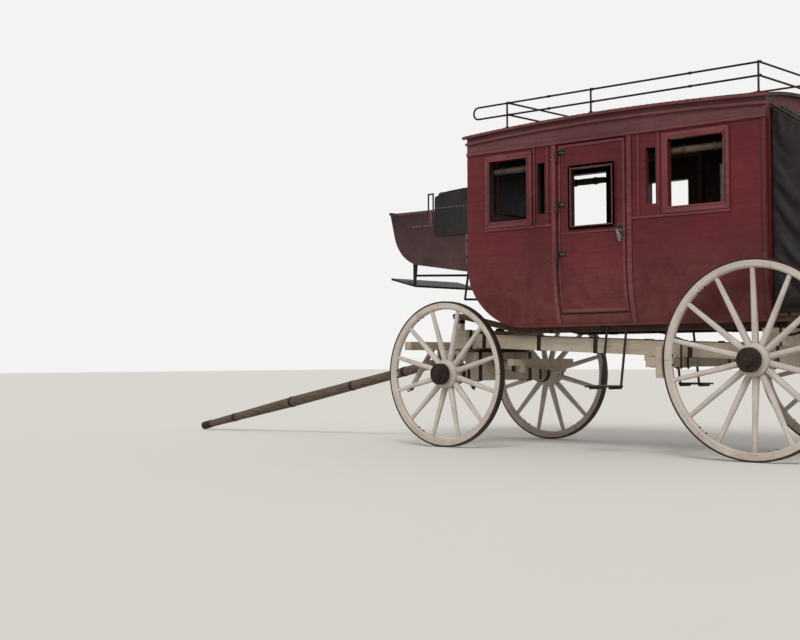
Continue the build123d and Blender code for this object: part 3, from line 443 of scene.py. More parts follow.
# Old brushed paint on boards: fades, streaks, scuffs at the edges and dust low down
woodStretch = {"x": (1, 16, 16), "y": (16, 1, 16)}
paintLook = {"fine": 24, "streaks": 3.2, "speckle": 0.22, "dirt": 9, "scuffs": 13, "chipSize": 46,
             "chipEdge": 0.03}


def paintedWood(name, look):
    finish = Finish(name)
    broad = finish.noise(look["broad"], 5, 0.6)
    fine = finish.noise(paintLook["fine"], 6, 0.65)
    streaks = finish.noise(paintLook["streaks"], 5, 0.6, finish.mapped(scale=woodStretch[look["grain"]]))
    paint = finish.tones(finish.between(broad, 0.34, 0.68), look["paint"], look["faded"])
    paint = finish.over(paint, finish.between(streaks, 0.45, 0.75, 0, look["streak"]), look["dark"])
    paint = finish.over(paint, finish.between(fine, 0.35, 0.75, 0, paintLook["speckle"]), look["dark"])
    if "inside" in look:
        # faces that look in at the cabin's middle are lined in bare dark wood
        place = finish.axes()
        facing = finish.axes(finish.node("TexCoord").outputs["Normal"])
        inwardY = finish.times(place[1], facing[1])
        inwardX = finish.times(finish.minus(place[0], look["middle"]), facing[0])
        inward = finish.between(finish.calc("MINIMUM", inwardY, inwardX), -0.10, -0.16)
        lining = finish.tones(finish.between(streaks, 0.35, 0.7), look["inside"], look["insideDark"])
        paint = finish.blend(inward, paint, lining)
    dust = finish.times(finish.between(finish.axes()[2], look["dustTop"], look["dustLow"], 0, look["dust"]),
                        finish.between(finish.noise(paintLook["dirt"], 7, 0.7), 0.3, 0.62))
    paint = finish.over(paint, dust, look["dustTone"])
    worn = finish.times(finish.rubbed(look["edge"], paintLook["scuffs"], 0.42, 0.62), look["wear"])
    chipped = 1 - look["chips"]
    chips = finish.between(finish.noise(paintLook["chipSize"], 9, 0.72),
                           chipped, chipped + paintLook["chipEdge"])
    bare = finish.calc("MAXIMUM", worn, chips)
    paint = finish.over(paint, bare, look["under"])
    rough = finish.between(fine, 0.3, 0.7, look["rough"] - 0.08, look["rough"] + 0.12)
    surface = finish.minus(finish.mixed(streaks, 0.6, fine, 0.35), finish.times(bare, 0.35))
    return finish.done(paint, rough, surface, look["bump"])


bodyLook = {
    "paint": (80, 18, 25), "faded": (102, 32, 37), "dark": (44, 10, 16), "under": (96, 74, 62),
    "grain": "x", "broad": 1.3, "streak": 0.5, "dust": 0.42, "dustTop": 1.75, "dustLow": 0.95,
    "dustTone": (116, 82, 72), "edge": 0.005, "wear": 0.55, "chips": 0.235, "rough": 0.46, "bump": 0.26,
    "inside": (44, 31, 25), "insideDark": (24, 17, 14), "middle": at(1.3475),
}
bootLook = {
    "paint": (44, 23, 27), "faded": (62, 36, 38), "dark": (24, 13, 16), "under": (92, 72, 62),
    "grain": "y", "broad": 2.6, "streak": 0.5, "dust": 0.4, "dustTop": 2.0, "dustLow": 1.4,
    "dustTone": (98, 80, 70), "edge": 0.005, "wear": 0.6, "chips": 0.22, "rough": 0.42, "bump": 0.2,
}
bodyPaint = paintedWood("bodyPaint", bodyLook)
trimPaint = paintedWood("trimPaint", {**bodyLook, "paint": (74, 19, 25), "faded": (98, 35, 39), "wear": 0.8})
fadedTrim = paintedWood("fadedTrim", {**bodyLook, "paint": (98, 42, 47), "faded": (124, 64, 66), "wear": 0.9})
fasciaPaint = paintedWood("fasciaPaint", {
    **bodyLook, "paint": (84, 44, 48), "faded": (108, 66, 68), "wear": 0.8})
bootPaint = paintedWood("bootPaint", bootLook)
# painted highlight: the boot's strips are painted paler than the boot, standing in for the light along the
# rim's top and its moulding
bootTrim = paintedWood("bootTrim", {**bootLook, "paint": (72, 46, 48), "faded": (98, 70, 68), "grain": "x"})
gearPaint = paintedWood("gearPaint", {
    "paint": (160, 148, 130), "faded": (184, 172, 154), "dark": (108, 95, 80), "under": (84, 70, 58),
    "grain": "x", "broad": 2.4, "streak": 0.4, "dust": 0.55, "dustTop": 0.95, "dustLow": 0.2,
    "dustTone": (150, 126, 104), "edge": 0.006, "wear": 0.75, "chips": 0.26, "rough": 0.55, "bump": 0.3,
})
darkWood = paintedWood("darkWood", {
    "paint": (58, 42, 33), "faded": (78, 60, 47), "dark": (30, 22, 18), "under": (104, 88, 74),
    "grain": "x", "broad": 2.2, "streak": 0.7, "dust": 0.3, "dustTop": 1.6, "dustLow": 0.9,
    "dustTone": (112, 92, 78), "edge": 0.005, "wear": 0.4, "chips": 0.2, "rough": 0.62, "bump": 0.4,
})
innerWood = paintedWood("innerWood", {
    "paint": (84, 58, 42), "faded": (104, 76, 56), "dark": (48, 33, 25), "under": (126, 104, 84),
    "grain": "x", "broad": 1.9, "streak": 0.7, "dust": 0.25, "dustTop": 1.7, "dustLow": 1.0,
    "dustTone": (126, 108, 92), "edge": 0.005, "wear": 0.4, "chips": 0.2, "rough": 0.6, "bump": 0.35,
})


# The pole's bare wood: grey-brown, with long checks and dirt in them
def weatheredWood(name, look):
    finish = Finish(name)
    along = (0, look["slope"], 0)
    rings = finish.noise(5, 8, 0.65, finish.mapped(scale=(0.9, 22, 22), turn=along), 0.25)
    checks = finish.noise(3, 3, 0.5, finish.mapped(scale=(0.55, 40, 40), turn=along))
    crack = finish.between(checks, 0.36, 0.3)
    paint = finish.tones(finish.between(rings, 0.32, 0.7), look["dark"], look["pale"])
    paint = finish.over(paint, finish.between(finish.noise(2.4, 5, 0.6), 0.42, 0.7, 0, 0.55), look["warm"])
    paint = finish.over(paint, finish.times(crack, 0.85), look["crack"])
    rough = finish.between(rings, 0.3, 0.7, 0.66, 0.86)
    return finish.done(paint, rough, finish.minus(finish.times(rings, 0.7), crack), 0.55, 0.004)


poleWood = weatheredWood("poleWood", {
    "dark": (50, 40, 34), "pale": (112, 98, 84), "warm": (92, 70, 54), "crack": (24, 19, 16), "slope": 0.205,
})


# Wheels: grain runs out along the spokes and round the felloes, the nave is a shade duller
def wheelWood(name, centre, look):
    finish = Finish(name)
    x, y, z = finish.axes(finish.mapped(place=[-value for value in centre]))
    radius = finish.calc("SQRT", finish.plus(finish.times(x, x), finish.times(z, z)))
    angle = finish.calc("ARCTAN2", z, x)
    across = finish.times(y, 26)
    alongSpoke = finish.noise(6, 6, 0.6, finish.pack(
        finish.times(radius, 1.2), finish.times(angle, 22), across))
    aroundRim = finish.noise(6, 6, 0.6, finish.pack(finish.times(radius, 26), angle, across))
    onRim = finish.between(radius, look["rimInner"] - 0.006, look["rimInner"] - 0.004)
    grain = finish.mixed(aroundRim, onRim, alongSpoke, finish.minus(1.0, onRim))
    broad = finish.noise(5.5, 5, 0.6)
    fine = finish.noise(40, 6, 0.65)
    paint = finish.tones(finish.between(broad, 0.35, 0.68), look["paint"], look["faded"])
    paint = finish.over(paint, finish.between(grain, 0.5, 0.74, 0, 0.6), look["dark"])
    paint = finish.over(paint, finish.between(fine, 0.45, 0.8, 0, 0.35), look["dark"])
    joint = finish.calc("ABSOLUTE", finish.calc("SINE", finish.times(angle, look["felloes"] / 2)))
    seam = finish.times(finish.between(joint, look["seam"], look["seam"] * 0.35), onRim)
    paint = finish.over(paint, finish.times(seam, 0.85), look["under"])
    outer = finish.between(radius, look["rimInner"] - 0.10, look["rimInner"] + 0.05, 0.08, 0.62)
    splash = finish.times(outer, finish.between(finish.noise(11, 7, 0.7), 0.36, 0.64))
    low = finish.between(finish.axes()[2], 0.55, 0.0, 0.35, 1.0)
    paint = finish.over(paint, finish.times(splash, low), look["dustTone"])
    chips = finish.between(finish.noise(60, 9, 0.72), 0.74, 0.765)
    bare = finish.calc("MAXIMUM", finish.times(finish.rubbed(0.004, 19, 0.44, 0.6), 0.8), chips)
    paint = finish.over(paint, bare, look["under"])
    naveTone = finish.tones(finish.between(broad, 0.35, 0.7), look["nave"], look["naveFaded"])
    naveTone = finish.over(naveTone, finish.times(bare, 0.7), look["under"])
    onNave = finish.between(radius, look["naveEdge"] + 0.003, look["naveEdge"] - 0.003)
    paint = finish.blend(onNave, paint, naveTone)
    rough = finish.between(fine, 0.3, 0.7, 0.48, 0.68)
    surface = finish.minus(finish.mixed(grain, 0.7, fine, 0.3), finish.plus(finish.times(bare, 0.4), seam))
    return finish.done(paint, rough, surface, 0.3)


# Forged iron, painted black once, with rust coming through
def oldIron(name, look):
    finish = Finish(name)
    broad = finish.noise(look["patch"], 6, 0.65)
    fine = finish.noise(70, 6, 0.7)
    paint = finish.tones(finish.between(broad, 0.4, 0.66, 0, look["rust"]), look["black"], look["rusty"])
    paint = finish.over(paint, finish.between(fine, 0.5, 0.78, 0, 0.5), look["pale"])
    worn = finish.times(finish.edges(0.003), finish.between(fine, 0.35, 0.6))
    paint = finish.over(paint, finish.times(worn, look["wear"]), look["bright"])
    rough = finish.between(fine, 0.3, 0.7, look["rough"] - 0.1, look["rough"] + 0.15)
    return finish.done(paint, rough, finish.mixed(broad, 0.5, fine, 0.5), 0.3, 0.0015, look["metal"])


blackIron = oldIron("blackIron", {
    "black": (27, 25, 25), "rusty": (74, 44, 32), "pale": (62, 54, 50), "bright": (112, 104, 98),
    "patch": 9, "rust": 0.5, "wear": 0.5, "rough": 0.5, "metal": 0.35,
})
tyreIron = oldIron("tyreIron", {
    "black": (34, 30, 28), "rusty": (78, 54, 42), "pale": (84, 74, 66), "bright": (150, 140, 130),
    "patch": 6, "rust": 0.6, "wear": 0.7, "rough": 0.46, "metal": 0.55,
})
wornSteel = oldIron("wornSteel", {
    "black": (120, 116, 112), "rusty": (110, 86, 70), "pale": (170, 166, 160), "bright": (214, 210, 204),
    "patch": 14, "rust": 0.3, "wear": 0.7, "rough": 0.34, "metal": 0.85,
})


# Leather: creased grain, dry along folds, dull shine
def oldLeather(name, look):
    finish = Finish(name)
    pebbles = finish.between(finish.cells(look["pebble"]), 0.0, 0.12, 0, 0.4)
    creases = finish.noise(look["crease"], 8, 0.62, twist=1.2)
    crack = finish.between(finish.calc("ABSOLUTE", finish.minus(creases, 0.5)), 0.03, 0.0)
    paint = finish.tones(finish.between(finish.noise(3.2, 5, 0.6), 0.35, 0.7), look["dark"], look["pale"])
    paint = finish.over(paint, finish.times(crack, look["dry"]), look["dryTone"])
    worn = finish.times(finish.rubbed(0.006, 17, 0.4, 0.62), look["wear"])
    dust = finish.between(finish.noise(7, 7, 0.7), 0.48, 0.75, 0, look["dust"])
    paint = finish.over(finish.over(paint, worn, look["dryTone"]), dust, look["dustTone"])
    rough = finish.between(creases, 0.3, 0.7, look["rough"] - 0.1, look["rough"] + 0.14)
    surface = finish.minus(finish.plus(pebbles, creases), finish.times(crack, 0.5))
    return finish.done(paint, rough, surface, look["bump"])


blackLeather = oldLeather("blackLeather", {
    "dark": (15, 13, 13), "pale": (30, 26, 25), "dryTone": (82, 68, 60), "dustTone": (92, 78, 68),
    "pebble": 190, "crease": 7, "dry": 0.1, "wear": 0.5, "dust": 0.1, "rough": 0.44, "bump": 0.5,
})
seatLeather = oldLeather("seatLeather", {
    "dark": (34, 25, 23), "pale": (56, 41, 36), "dryTone": (104, 80, 64), "dustTone": (112, 92, 78),
    "pebble": 230, "crease": 10, "dry": 0.4, "wear": 0.6, "dust": 0.25, "rough": 0.44, "bump": 0.4,
})
strapLeather = oldLeather("strapLeather", {
    "dark": (40, 28, 22), "pale": (70, 48, 36), "dryTone": (118, 90, 68), "dustTone": (124, 102, 84),
    "pebble": 260, "crease": 14, "dry": 0.5, "wear": 0.7, "dust": 0.4, "rough": 0.55, "bump": 0.4,
})
curtainLeather = oldLeather("curtainLeather", {
    "dark": (58, 50, 44), "pale": (92, 80, 68), "dryTone": (132, 114, 96), "dustTone": (136, 120, 104),
    "pebble": 300, "crease": 16, "dry": 0.3, "wear": 0.5, "dust": 0.3, "rough": 0.6, "bump": 0.35,
})


# The roof's tarred canvas, with a faint weave under the paint
def tarredCanvas(name, look):
    finish = Finish(name)
    x, y, z = finish.axes()
    weave = finish.times(finish.calc("SINE", finish.times(x, look["threads"])),
                         finish.calc("SINE", finish.times(y, look["threads"])))
    broad = finish.noise(1.8, 6, 0.62)
    patch = finish.noise(6, 7, 0.7)
    crazed = finish.times(finish.between(finish.cells(26), 0.03, 0.0), finish.between(patch, 0.5, 0.65))
    paint = finish.tones(finish.between(broad, 0.35, 0.7), look["dark"], look["pale"])
    paint = finish.over(paint, finish.times(crazed, 0.6), look["crack"])
    paint = finish.over(paint, finish.between(patch, 0.42, 0.7, 0, 0.5), look["dustTone"])
    rough = finish.between(patch, 0.3, 0.7, 0.62, 0.84)
    surface = finish.minus(finish.mixed(weave, 0.12, broad, 0.8), finish.times(crazed, 0.3))
    return finish.done(paint, rough, surface, 0.35)


roofCanvas = tarredCanvas("roofCanvas", {
    "dark": (44, 34, 33), "pale": (66, 52, 48), "crack": (24, 19, 19), "dustTone": (112, 92, 82),
    "threads": 2200,
})

# ---- what each solid is finished in; the rest are black iron, and a name that ends in _ has two sides ----
solidFinishes = {}
for material, names in (
        (bodyPaint, "cabin_front cabin_back front_quarter_ rear_quarter_ door_"), (fasciaPaint, "cornice_"),
        (bootPaint, "driver_boot driver_seat"), (darkWood, "cabin_floor rear_platform"),
        (innerWood, "cabin_benches"), (poleWood, "pole_shaft"), (roofCanvas, "cabin_roof"),
        (gearPaint, "brake_beam perch_beams rear_axle_bed rear_bolster front_transom standards"),
        (gearPaint, "front_axle_bed lower_bolster hounds swingletrees"),
        (tyreIron, "rear_axle_arms front_axle_arms king_pin rear_wheel_tyre_ front_wheel_tyre_"),
        (blackLeather, "rear_boot_cover"), (seatLeather, "driver_cushion cabin_cushions"),
        (strapLeather, "thoroughbraces"), (curtainLeather, "window_curtains")):
    for name in names.split():
        for whole in [name + side for side, sign in sides] if name.endswith("_") else [name]:
            solidFinishes[whole] = material
wheelSizes = {
    "rear": {"rimInner": 0.657, "felloes": 7, "seam": 0.012, "station": 0.0, "axle": 0.7253},
    "front": {"rimInner": 0.550, "felloes": 6, "seam": 0.012, "station": frontAxle, "axle": 0.6183},
}
wheelTones = {
    "paint": (180, 170, 160), "faded": (201, 193, 184), "dark": (132, 118, 106), "under": (98, 82, 66),
    "dustTone": (146, 118, 100), "nave": (168, 157, 146), "naveFaded": (190, 181, 170), "naveEdge": 0.126,
}
for side, sign in sides:
    for end, size in wheelSizes.items():
        hub = (at(size["station"]), sign * wheelY, size["axle"])
        solidFinishes[end + "_wheel_wood_" + side] = wheelWood(
            end + "Wheel" + side.title(), hub, {**wheelTones, **size})
for name, solid in solids.items():
    solid.data.materials.clear()
    solid.data.materials.append(solidFinishes.get(name, blackIron))
print("materials on", len(solids), "solids")

# ---- mouldings planted on the cabin's sides: made on the left, then mirrored ----
tuck = {"top": 1.5, "radius": 1.633}      # below this height the sides round inward


def turnAt(height):
    return math.asin(max(0.0, tuck["top"] - height) / tuck["radius"])


def sideStrip(name, rear, front, low, high, proud, eased, sunk=0.003):
    # a strip on the side from low to high, spun round the tuck where it reaches it
    start = turnAt(min(high, tuck["top"]))
    reach = tuck["radius"] + (proud - sunk) / 2
    centreY = sideY - tuck["radius"]
    y, z = centreY + reach * math.cos(start), tuck["top"] - reach * math.sin(start)
    nothingSelected()
    bpy.ops.mesh.primitive_plane_add(size=1, rotation=(-start, 0, 0), location=(at((rear + front) / 2), y, z))
    strip = bpy.context.object
    strip.scale = (front - rear, proud + sunk, 1)
    editPiece(settle(strip, name))
    swing = turnAt(low) - start
    bpy.ops.mesh.spin(steps=max(2, round(swing * 26)), angle=swing, dupli=False,
                      center=(0, centreY, tuck["top"]), axis=(1, 0, 0))
    repairNormals(strip)
    if high > tuck["top"]:
        selectFaces(strip, lambda centre, normal: centre.z > tuck["top"] - 0.0005 and abs(normal.z) > 0.9)
        pushOut((0, 0, high - tuck["top"]))
        repairNormals(strip)
    return softenEdges(strip, eased)


def flatStrip(name, rear, front, low, high, proud, eased, sunk=0.003):
    return softBlock(name, (rear, sideY - sunk, low), (front, sideY + proud, high), eased)


def mitredFrame(name, rear, front, low, high, width, base, proud, eased):
    # four planted strips round an opening, with the mitres between them scored in
    nothingSelected()
    bpy.ops.mesh.primitive_plane_add(size=1, rotation=(-math.pi / 2, 0, 0),
                                     location=(at((rear + front) / 2), sideY + base, (low + high) / 2))
    ring = bpy.context.object
    ring.scale = (front - rear, high - low, 1)
    editPiece(settle(ring, name), "FACE")
    bpy.ops.mesh.inset(thickness=width)
    bpy.ops.mesh.delete(type="FACE")
    bpy.ops.mesh.select_all(action="SELECT")
    pushOut((0, proud, 0))
    repairNormals(ring)
    face = sideY + base + proud - 0.0001
    selectEdges(ring, lambda a, b: min(a.y, b.y) > face and abs(a.x - b.x) > 0.001 and abs(a.z - b.z) > 0.001)
    bpy.ops.mesh.bevel(offset=0.0009, segments=1)
    bpy.ops.mesh.select_mode(type="FACE")
    pushOut((0, -0.0016, 0))
    objectMode()
    return softenEdges(ring, eased)


doorRear, doorFront, bodyRear = 1.145, 1.796, -0.036      # stations of the door's gap and the cabin's corner
belt, stripTop = 1.836, 2.474
windows = {    # rear station, front station, bottom, top of the framed openings
    "rearWindow": (0.300, 0.768, 1.888, 2.404), "frontWindow": (2.092, 2.484, 1.888, 2.404),
}
doorWindow = (1.272, 1.656, 1.804, 2.260)
coachTrim, doorTrim, paleTrim = [], [], []

# posts beside the door, beads beside the slots, belts, sill, skirt and corner; then the door's own strips.
# Each is: list, way it is made, rear, front, low, high, how proud, how eased
for trim, make, rear, front, low, high, proud, eased in (
        (paleTrim, sideStrip, doorRear - 0.050, doorRear - 0.010, 1.004, stripTop, 0.012, 0.003),
        (paleTrim, sideStrip, doorFront + 0.010, doorFront + 0.050, 1.004, stripTop, 0.012, 0.003),
        *((paleTrim, flatStrip, station, station + 0.016, belt, stripTop, 0.008, 0.003)
          for station in (1.024, 0.846, 1.882, 2.016)),
        (paleTrim, flatStrip, 0.246, doorRear - 0.050, belt - 0.020, belt, 0.011, 0.005),
        (paleTrim, flatStrip, doorFront + 0.050, 2.538, belt - 0.020, belt, 0.011, 0.005),
        (coachTrim, sideStrip, doorRear - 0.004, doorFront + 0.004, 1.024, 1.092, 0.010, 0.004),
        (coachTrim, sideStrip, bodyRear + 0.004, 2.225, 1.003, 1.022, 0.013, 0.004),
        (coachTrim, flatStrip, bodyRear, 0.004, 1.5, stripTop, 0.009, 0.003),
        (coachTrim, sideStrip, bodyRear, 0.004, 1.022, 1.5, 0.009, 0.003),
        (doorTrim, flatStrip, 1.158, 1.783, 2.440, 2.462, 0.007, 0.003),
        (doorTrim, sideStrip, 1.1555, 1.177, 1.118, 2.438, 0.006, 0.003),
        (doorTrim, sideStrip, 1.768, 1.7855, 1.118, 2.438, 0.005, 0.003),
        (doorTrim, sideStrip, 1.178, 1.767, 1.114, 1.140, 0.006, 0.003),
        (doorTrim, flatStrip, 1.178, 1.767, 1.742, 1.756, 0.006, 0.004)):
    trim.append(make("side_strip", rear, front, low, high, proud, eased))

# a wide and a narrow frame round each window: list, opening, how far out, width, base, how proud, how eased
for trim, (rear, front, low, high), out, width, base, proud, eased in (
        *((paleTrim, opening, *sizes) for opening in windows.values()
          for sizes in ((0.047, 0.048, 0.0105, 0.0045, 0.0025), (0.010, 0.012, 0.0120, 0.0075, 0.003))),
        (doorTrim, doorWindow, 0.031, 0.030, -0.0005, 0.0125, 0.003),
        (doorTrim, doorWindow, 0.010, 0.010, 0.0110, 0.0065, 0.003)):
    trim.append(mitredFrame("window_frame", rear - out, front + out, low - out, high + out,
                            width, base, proud, eased))

# the cornice follows the roof's edge, so its two beads are strips bent to the same arch
roofArch = {"edge": 2.690, "middle": 1.3475, "half": 1.4175, "drop": 0.045}


def archedStrip(name, rear, front, below, tall, inner, outer, eased):
    strip = addBlock(name, (at(rear), inner, -tall), (at(front), outer, 0))
    cutEdges(strip, lambda a, b: abs(a.x - b.x) > 0.1, 18)
    for vertex in strip.data.vertices:
        share = (vertex.co.x - rearAxleX - roofArch["middle"]) / roofArch["half"]
        vertex.co.z += roofArch["edge"] - roofArch["drop"] * share * share - below
    return softenEdges(strip, eased)


paleTrim += [
    archedStrip("cornice_bead", -0.046, 2.742, 0.058, 0.022, 0.606, 0.6205, 0.004),
    archedStrip("cornice_lip", -0.069, 2.764, 0.003, 0.020, 0.622, 0.6365, 0.005),
    flatStrip("cornice_foot", -0.038, 2.733, 2.4765, 2.4925, 0.0185, 0.005),
]

# screws through the planted strips, slotted and painted over
screw = domeHead("screw", 0.0052, 0.0028, 10)
selectFaces(screw, lambda centre, normal: normal.z > 0.95)
bpy.ops.mesh.inset(thickness=0.001)
pushOut((0, 0, -0.0009))
objectMode()
frameFace, postFace = sideY + 0.0148, sideY + 0.0118
screwPlaces = []
for rear, front, low, high in windows.values():
    rear, front, low, high = rear - 0.024, front + 0.024, low - 0.024, high + 0.024
    screwPlaces += [(x, frameFace, z) for x in (rear, (rear + front) / 2, front) for z in (low, high)]
    screwPlaces += [(x, frameFace, (low + high) / 2) for x in (rear, front)]
screwPlaces += [(x, postFace, z) for x in (doorRear - 0.030, doorFront + 0.030)
                for z in (1.60, 1.74, 1.92, 2.10, 2.28, 2.44)]
doorScrewPlaces = [(x, postFace, z) for x in (1.256, 1.464, 1.672) for z in (1.788, 2.276)]
doorScrewPlaces += [(x, postFace, 2.032) for x in (1.256, 1.672)]
random.seed(11)
doorScrews = placedCopies("door_screws_left", placedCopy(screw), facingOut(doorScrewPlaces))
sideScrews = placedCopies("trim_screws_left", screw, facingOut(screwPlaces))
finishBoth(joinPieces("planted_trim_left", paleTrim), "coach", fadedTrim)
finishBoth(joinPieces("body_trim_left", coachTrim), "coach", trimPaint)
finishBoth(joinPieces("door_trim_left", doorTrim), "door_", fadedTrim)
finishBoth(sideScrews, "coach", trimPaint)
finishBoth(doorScrews, "door_", trimPaint)
print("mouldings done")


# ---- cushions ----
def swell(piece, held, pressure, cap, slack=0.0, gravity=0.0):
    # blow the piece up, or let it sag, as cloth, holding back what would go too far
    group = piece.vertex_groups.new(name="held")
    group.add([vertex.index for vertex in piece.data.vertices if held(vertex.co)], 1.0, "REPLACE")
    before = [vertex.co.copy() for vertex in piece.data.vertices]
    cloth = piece.modifiers.new("Cloth", "CLOTH")
    cloth.settings.vertex_group_mass = "held"
    cloth.settings.use_pressure = pressure != 0
    cloth.settings.uniform_pressure_force = pressure
    cloth.settings.shrink_min = -slack
    cloth.settings.effector_weights.gravity = gravity
    cloth.settings.bending_stiffness = 0.3
    cloth.point_cache.frame_start = 1
    cloth.point_cache.frame_end = 20
    for step in range(1, 21):
        bpy.context.scene.frame_set(step)
    makeActive(piece)
    bpy.ops.object.modifier_apply(modifier="Cloth")
    bpy.context.scene.frame_set(1)
    for vertex, start in zip(piece.data.vertices, before):
        move = vertex.co - start
        if move.length > cap:
            vertex.co = start + move * (cap / move.length)
    piece.vertex_groups.clear()


def cushion(name, size, look):
    # a pad lying about the origin: remeshed, buttoned, swollen and smoothed
    long, wide, thick = (side / 2 - look["cap"] * 0.75 for side in size)
    pad = addBlock(name, (-long, -wide, -thick), (long, wide, thick))
    selectEdges(pad, lambda a, b: abs(a.z - b.z) > thick)
    bpy.ops.mesh.bevel(offset=look["corner"], segments=4)
    selectEdges(pad, lambda a, b: a.z * b.z > 0)
    bpy.ops.mesh.bevel(offset=look["round"], segments=3)
    objectMode()
    applyModifier(pad, "REMESH", mode="VOXEL", voxel_size=look["voxel"])
    rows, columns = look["buttons"]
    spots = [((row + 0.5) / rows * 2 * long - long, (column + 0.5) / columns * 2 * wide - wide)
             for row in range(rows) for column in range(columns)]
    for vertex in pad.data.vertices:
        if vertex.co.z > thick * 0.5:
            for x, y in spots:
                near = math.hypot(vertex.co.x - x, vertex.co.y - y)
                vertex.co.z -= look["sink"] * math.exp(-(near / look["pinch"]) ** 2)

    def held(co):
        onButton = co.z > 0 and any(math.hypot(co.x - x, co.y - y) < look["voxel"] * 0.9 for x, y in spots)
        onSeam = any(abs(co.z - seam * thick) < look["voxel"] * 0.6 and
                     (abs(co.x) > long - 0.004 or abs(co.y) > wide - 0.004) for seam in look["seams"])
        return onButton or onSeam or co.z < -thick + 0.002

    swell(pad, held, look["pressure"], look["cap"])
    applyModifier(pad, "SUBSURF", levels=1, render_levels=1)
    smooth(pad, 80)
    edge = loopPoints(2 * long + 0.004, 2 * wide + 0.004, look["corner"], 8)
    trims = [addRun(name + "_welt", [(x, y, seam * thick) for x, y in edge], look["welt"], closed=True)
             for seam in look["seams"]]
    trims.append(placedCopies(name + "_buttons", domeHead(name + "_button", 0.0115, 0.0055, 14), [
        Matrix.Translation((x, y, thick - look["sink"] - 0.0005)) for x, y in spots]))
    return pad, joinPieces(name + "_trim", trims)


driverLook = {"voxel": 0.009, "cap": 0.012, "corner": 0.045, "round": 0.024, "buttons": (2, 6), "sink": 0.017,
              "pinch": 0.017, "seams": (0.0,), "pressure": 4.0, "welt": 0.0045}
driverPad, driverTrim = cushion("driver_pad", (0.386, 1.136, 0.092), driverLook)
for piece in (driverPad, driverTrim):
    moved(piece, Matrix.Translation((at(2.940), 0, 2.1733)))
finishPiece(driverPad, "coach", seatLeather, ["driver_cushion"])
finishPiece(driverTrim, "coach", blackLeather)
print("driver's cushion done")

benchLook = {**driverLook, "voxel": 0.0145, "cap": 0.013, "corner": 0.030, "round": 0.012, "buttons": (2, 5),
             "seams": (0.72, -0.72)}
backLook = {**benchLook, "buttons": (2, 6)}
cabinPads, cabinTrims = [], []
for name, size, look, place, turn in (
        ("rear_bench_pad", (0.451, 1.090, 0.088), benchLook, (0.2285, 1.4843), 0),
        ("front_bench_pad", (0.517, 1.090, 0.088), benchLook, (2.4115, 1.4843), 0),
        ("rear_back_pad", (0.470, 1.092, 0.079), backLook, (0.0425, 1.775), 1),
        ("front_back_pad", (0.470, 1.092, 0.079), backLook, (2.652, 1.775), -1)):
    pad, trim = cushion(name, size, look)
    stood = Matrix.Translation((at(place[0]), 0, place[1])) @ Matrix.Rotation(turn * math.pi / 2, 4, "Y")
    cabinPads.append(moved(pad, stood))
    cabinTrims.append(moved(trim, stood))
seats = finishPiece(joinPieces("cabin_pads", cabinPads), "coach", seatLeather,
                    ["cabin_cushions"])
finishPiece(joinPieces("cabin_pad_trim", cabinTrims), "coach", strapLeather)
print("cabin cushions done")

# ---- leather cover over the rear platform, strapped down over its hoops ----
coverLook = {"voxel": 0.018, "wide": 0.541, "low": 1.0605, "top": 2.580, "back": -0.0403, "deep": -0.6403,
             "corner": 0.120, "straps": (-0.335, 0.0, 0.335), "slack": 0.03, "cap": 0.024, "thick": 0.005,
             "strapWide": 0.046, "buckles": (1.62, 1.20)}


def coverLine(outward):
    low, top, back, deep = coverLook["low"], coverLook["top"], coverLook["back"], coverLook["deep"]
    corners = [(back, top), (back - 0.260, top - 0.170), (deep + 0.070, top - 0.560),
               (deep, low + 0.560), (deep, low)]
    line = roundedCorners([Vector((at(x), z)) for x, z in corners], coverLook["corner"], 8)
    shifted = []
    for index, point in enumerate(line):
        run = line[min(index + 1, len(line) - 1)] - line[max(index - 1, 0)]
        shifted.append(point + Vector((run.y, -run.x)).normalized() * outward)
    return shifted


coverCurve = [point for start, end in zip(coverLine(0), coverLine(0)[1:])
              for point in (start, (start * 3 + end) / 4, (start + end) / 2, (start + end * 3) / 4)]


def coverHeld(co):
    near = min((Vector((co.x, co.z)) - point).length for point in coverCurve)
    onEdge = co.z < coverLook["low"] + 0.030 or co.x > at(coverLook["back"]) - 0.030
    onBow = abs(co.y) > coverLook["wide"] - 0.010 and near < 0.022
    underStrap = any(abs(co.y - y) < 0.034 for y in coverLook["straps"]) and near < 0.016
    return onEdge or onBow or underStrap


nothingSelected()
cover = solids["rear_boot_cover"].copy()
cover.data = cover.data.copy()
cover.hide_render = False
bpy.context.scene.collection.objects.link(cover)
settle(cover, "rear_cover")
repairNormals(cover)
applyModifier(cover, "REMESH", mode="VOXEL", voxel_size=coverLook["voxel"])
coverMiddle = Vector((at(-0.20), 0, 1.75))
selectFaces(cover, lambda centre, normal: normal.dot(centre - coverMiddle) < 0
            or centre.z < coverLook["low"] + 0.004 or centre.x > at(coverLook["back"]) - 0.004)
bpy.ops.mesh.delete(type="FACE")
objectMode()
swell(cover, coverHeld, 0.0, coverLook["cap"], coverLook["slack"], 0.5)
applyModifier(cover, "SOLIDIFY", thickness=coverLook["thick"], offset=-1.0)
applyModifier(cover, "SUBSURF", levels=1, render_levels=1)
smooth(cover, 70)

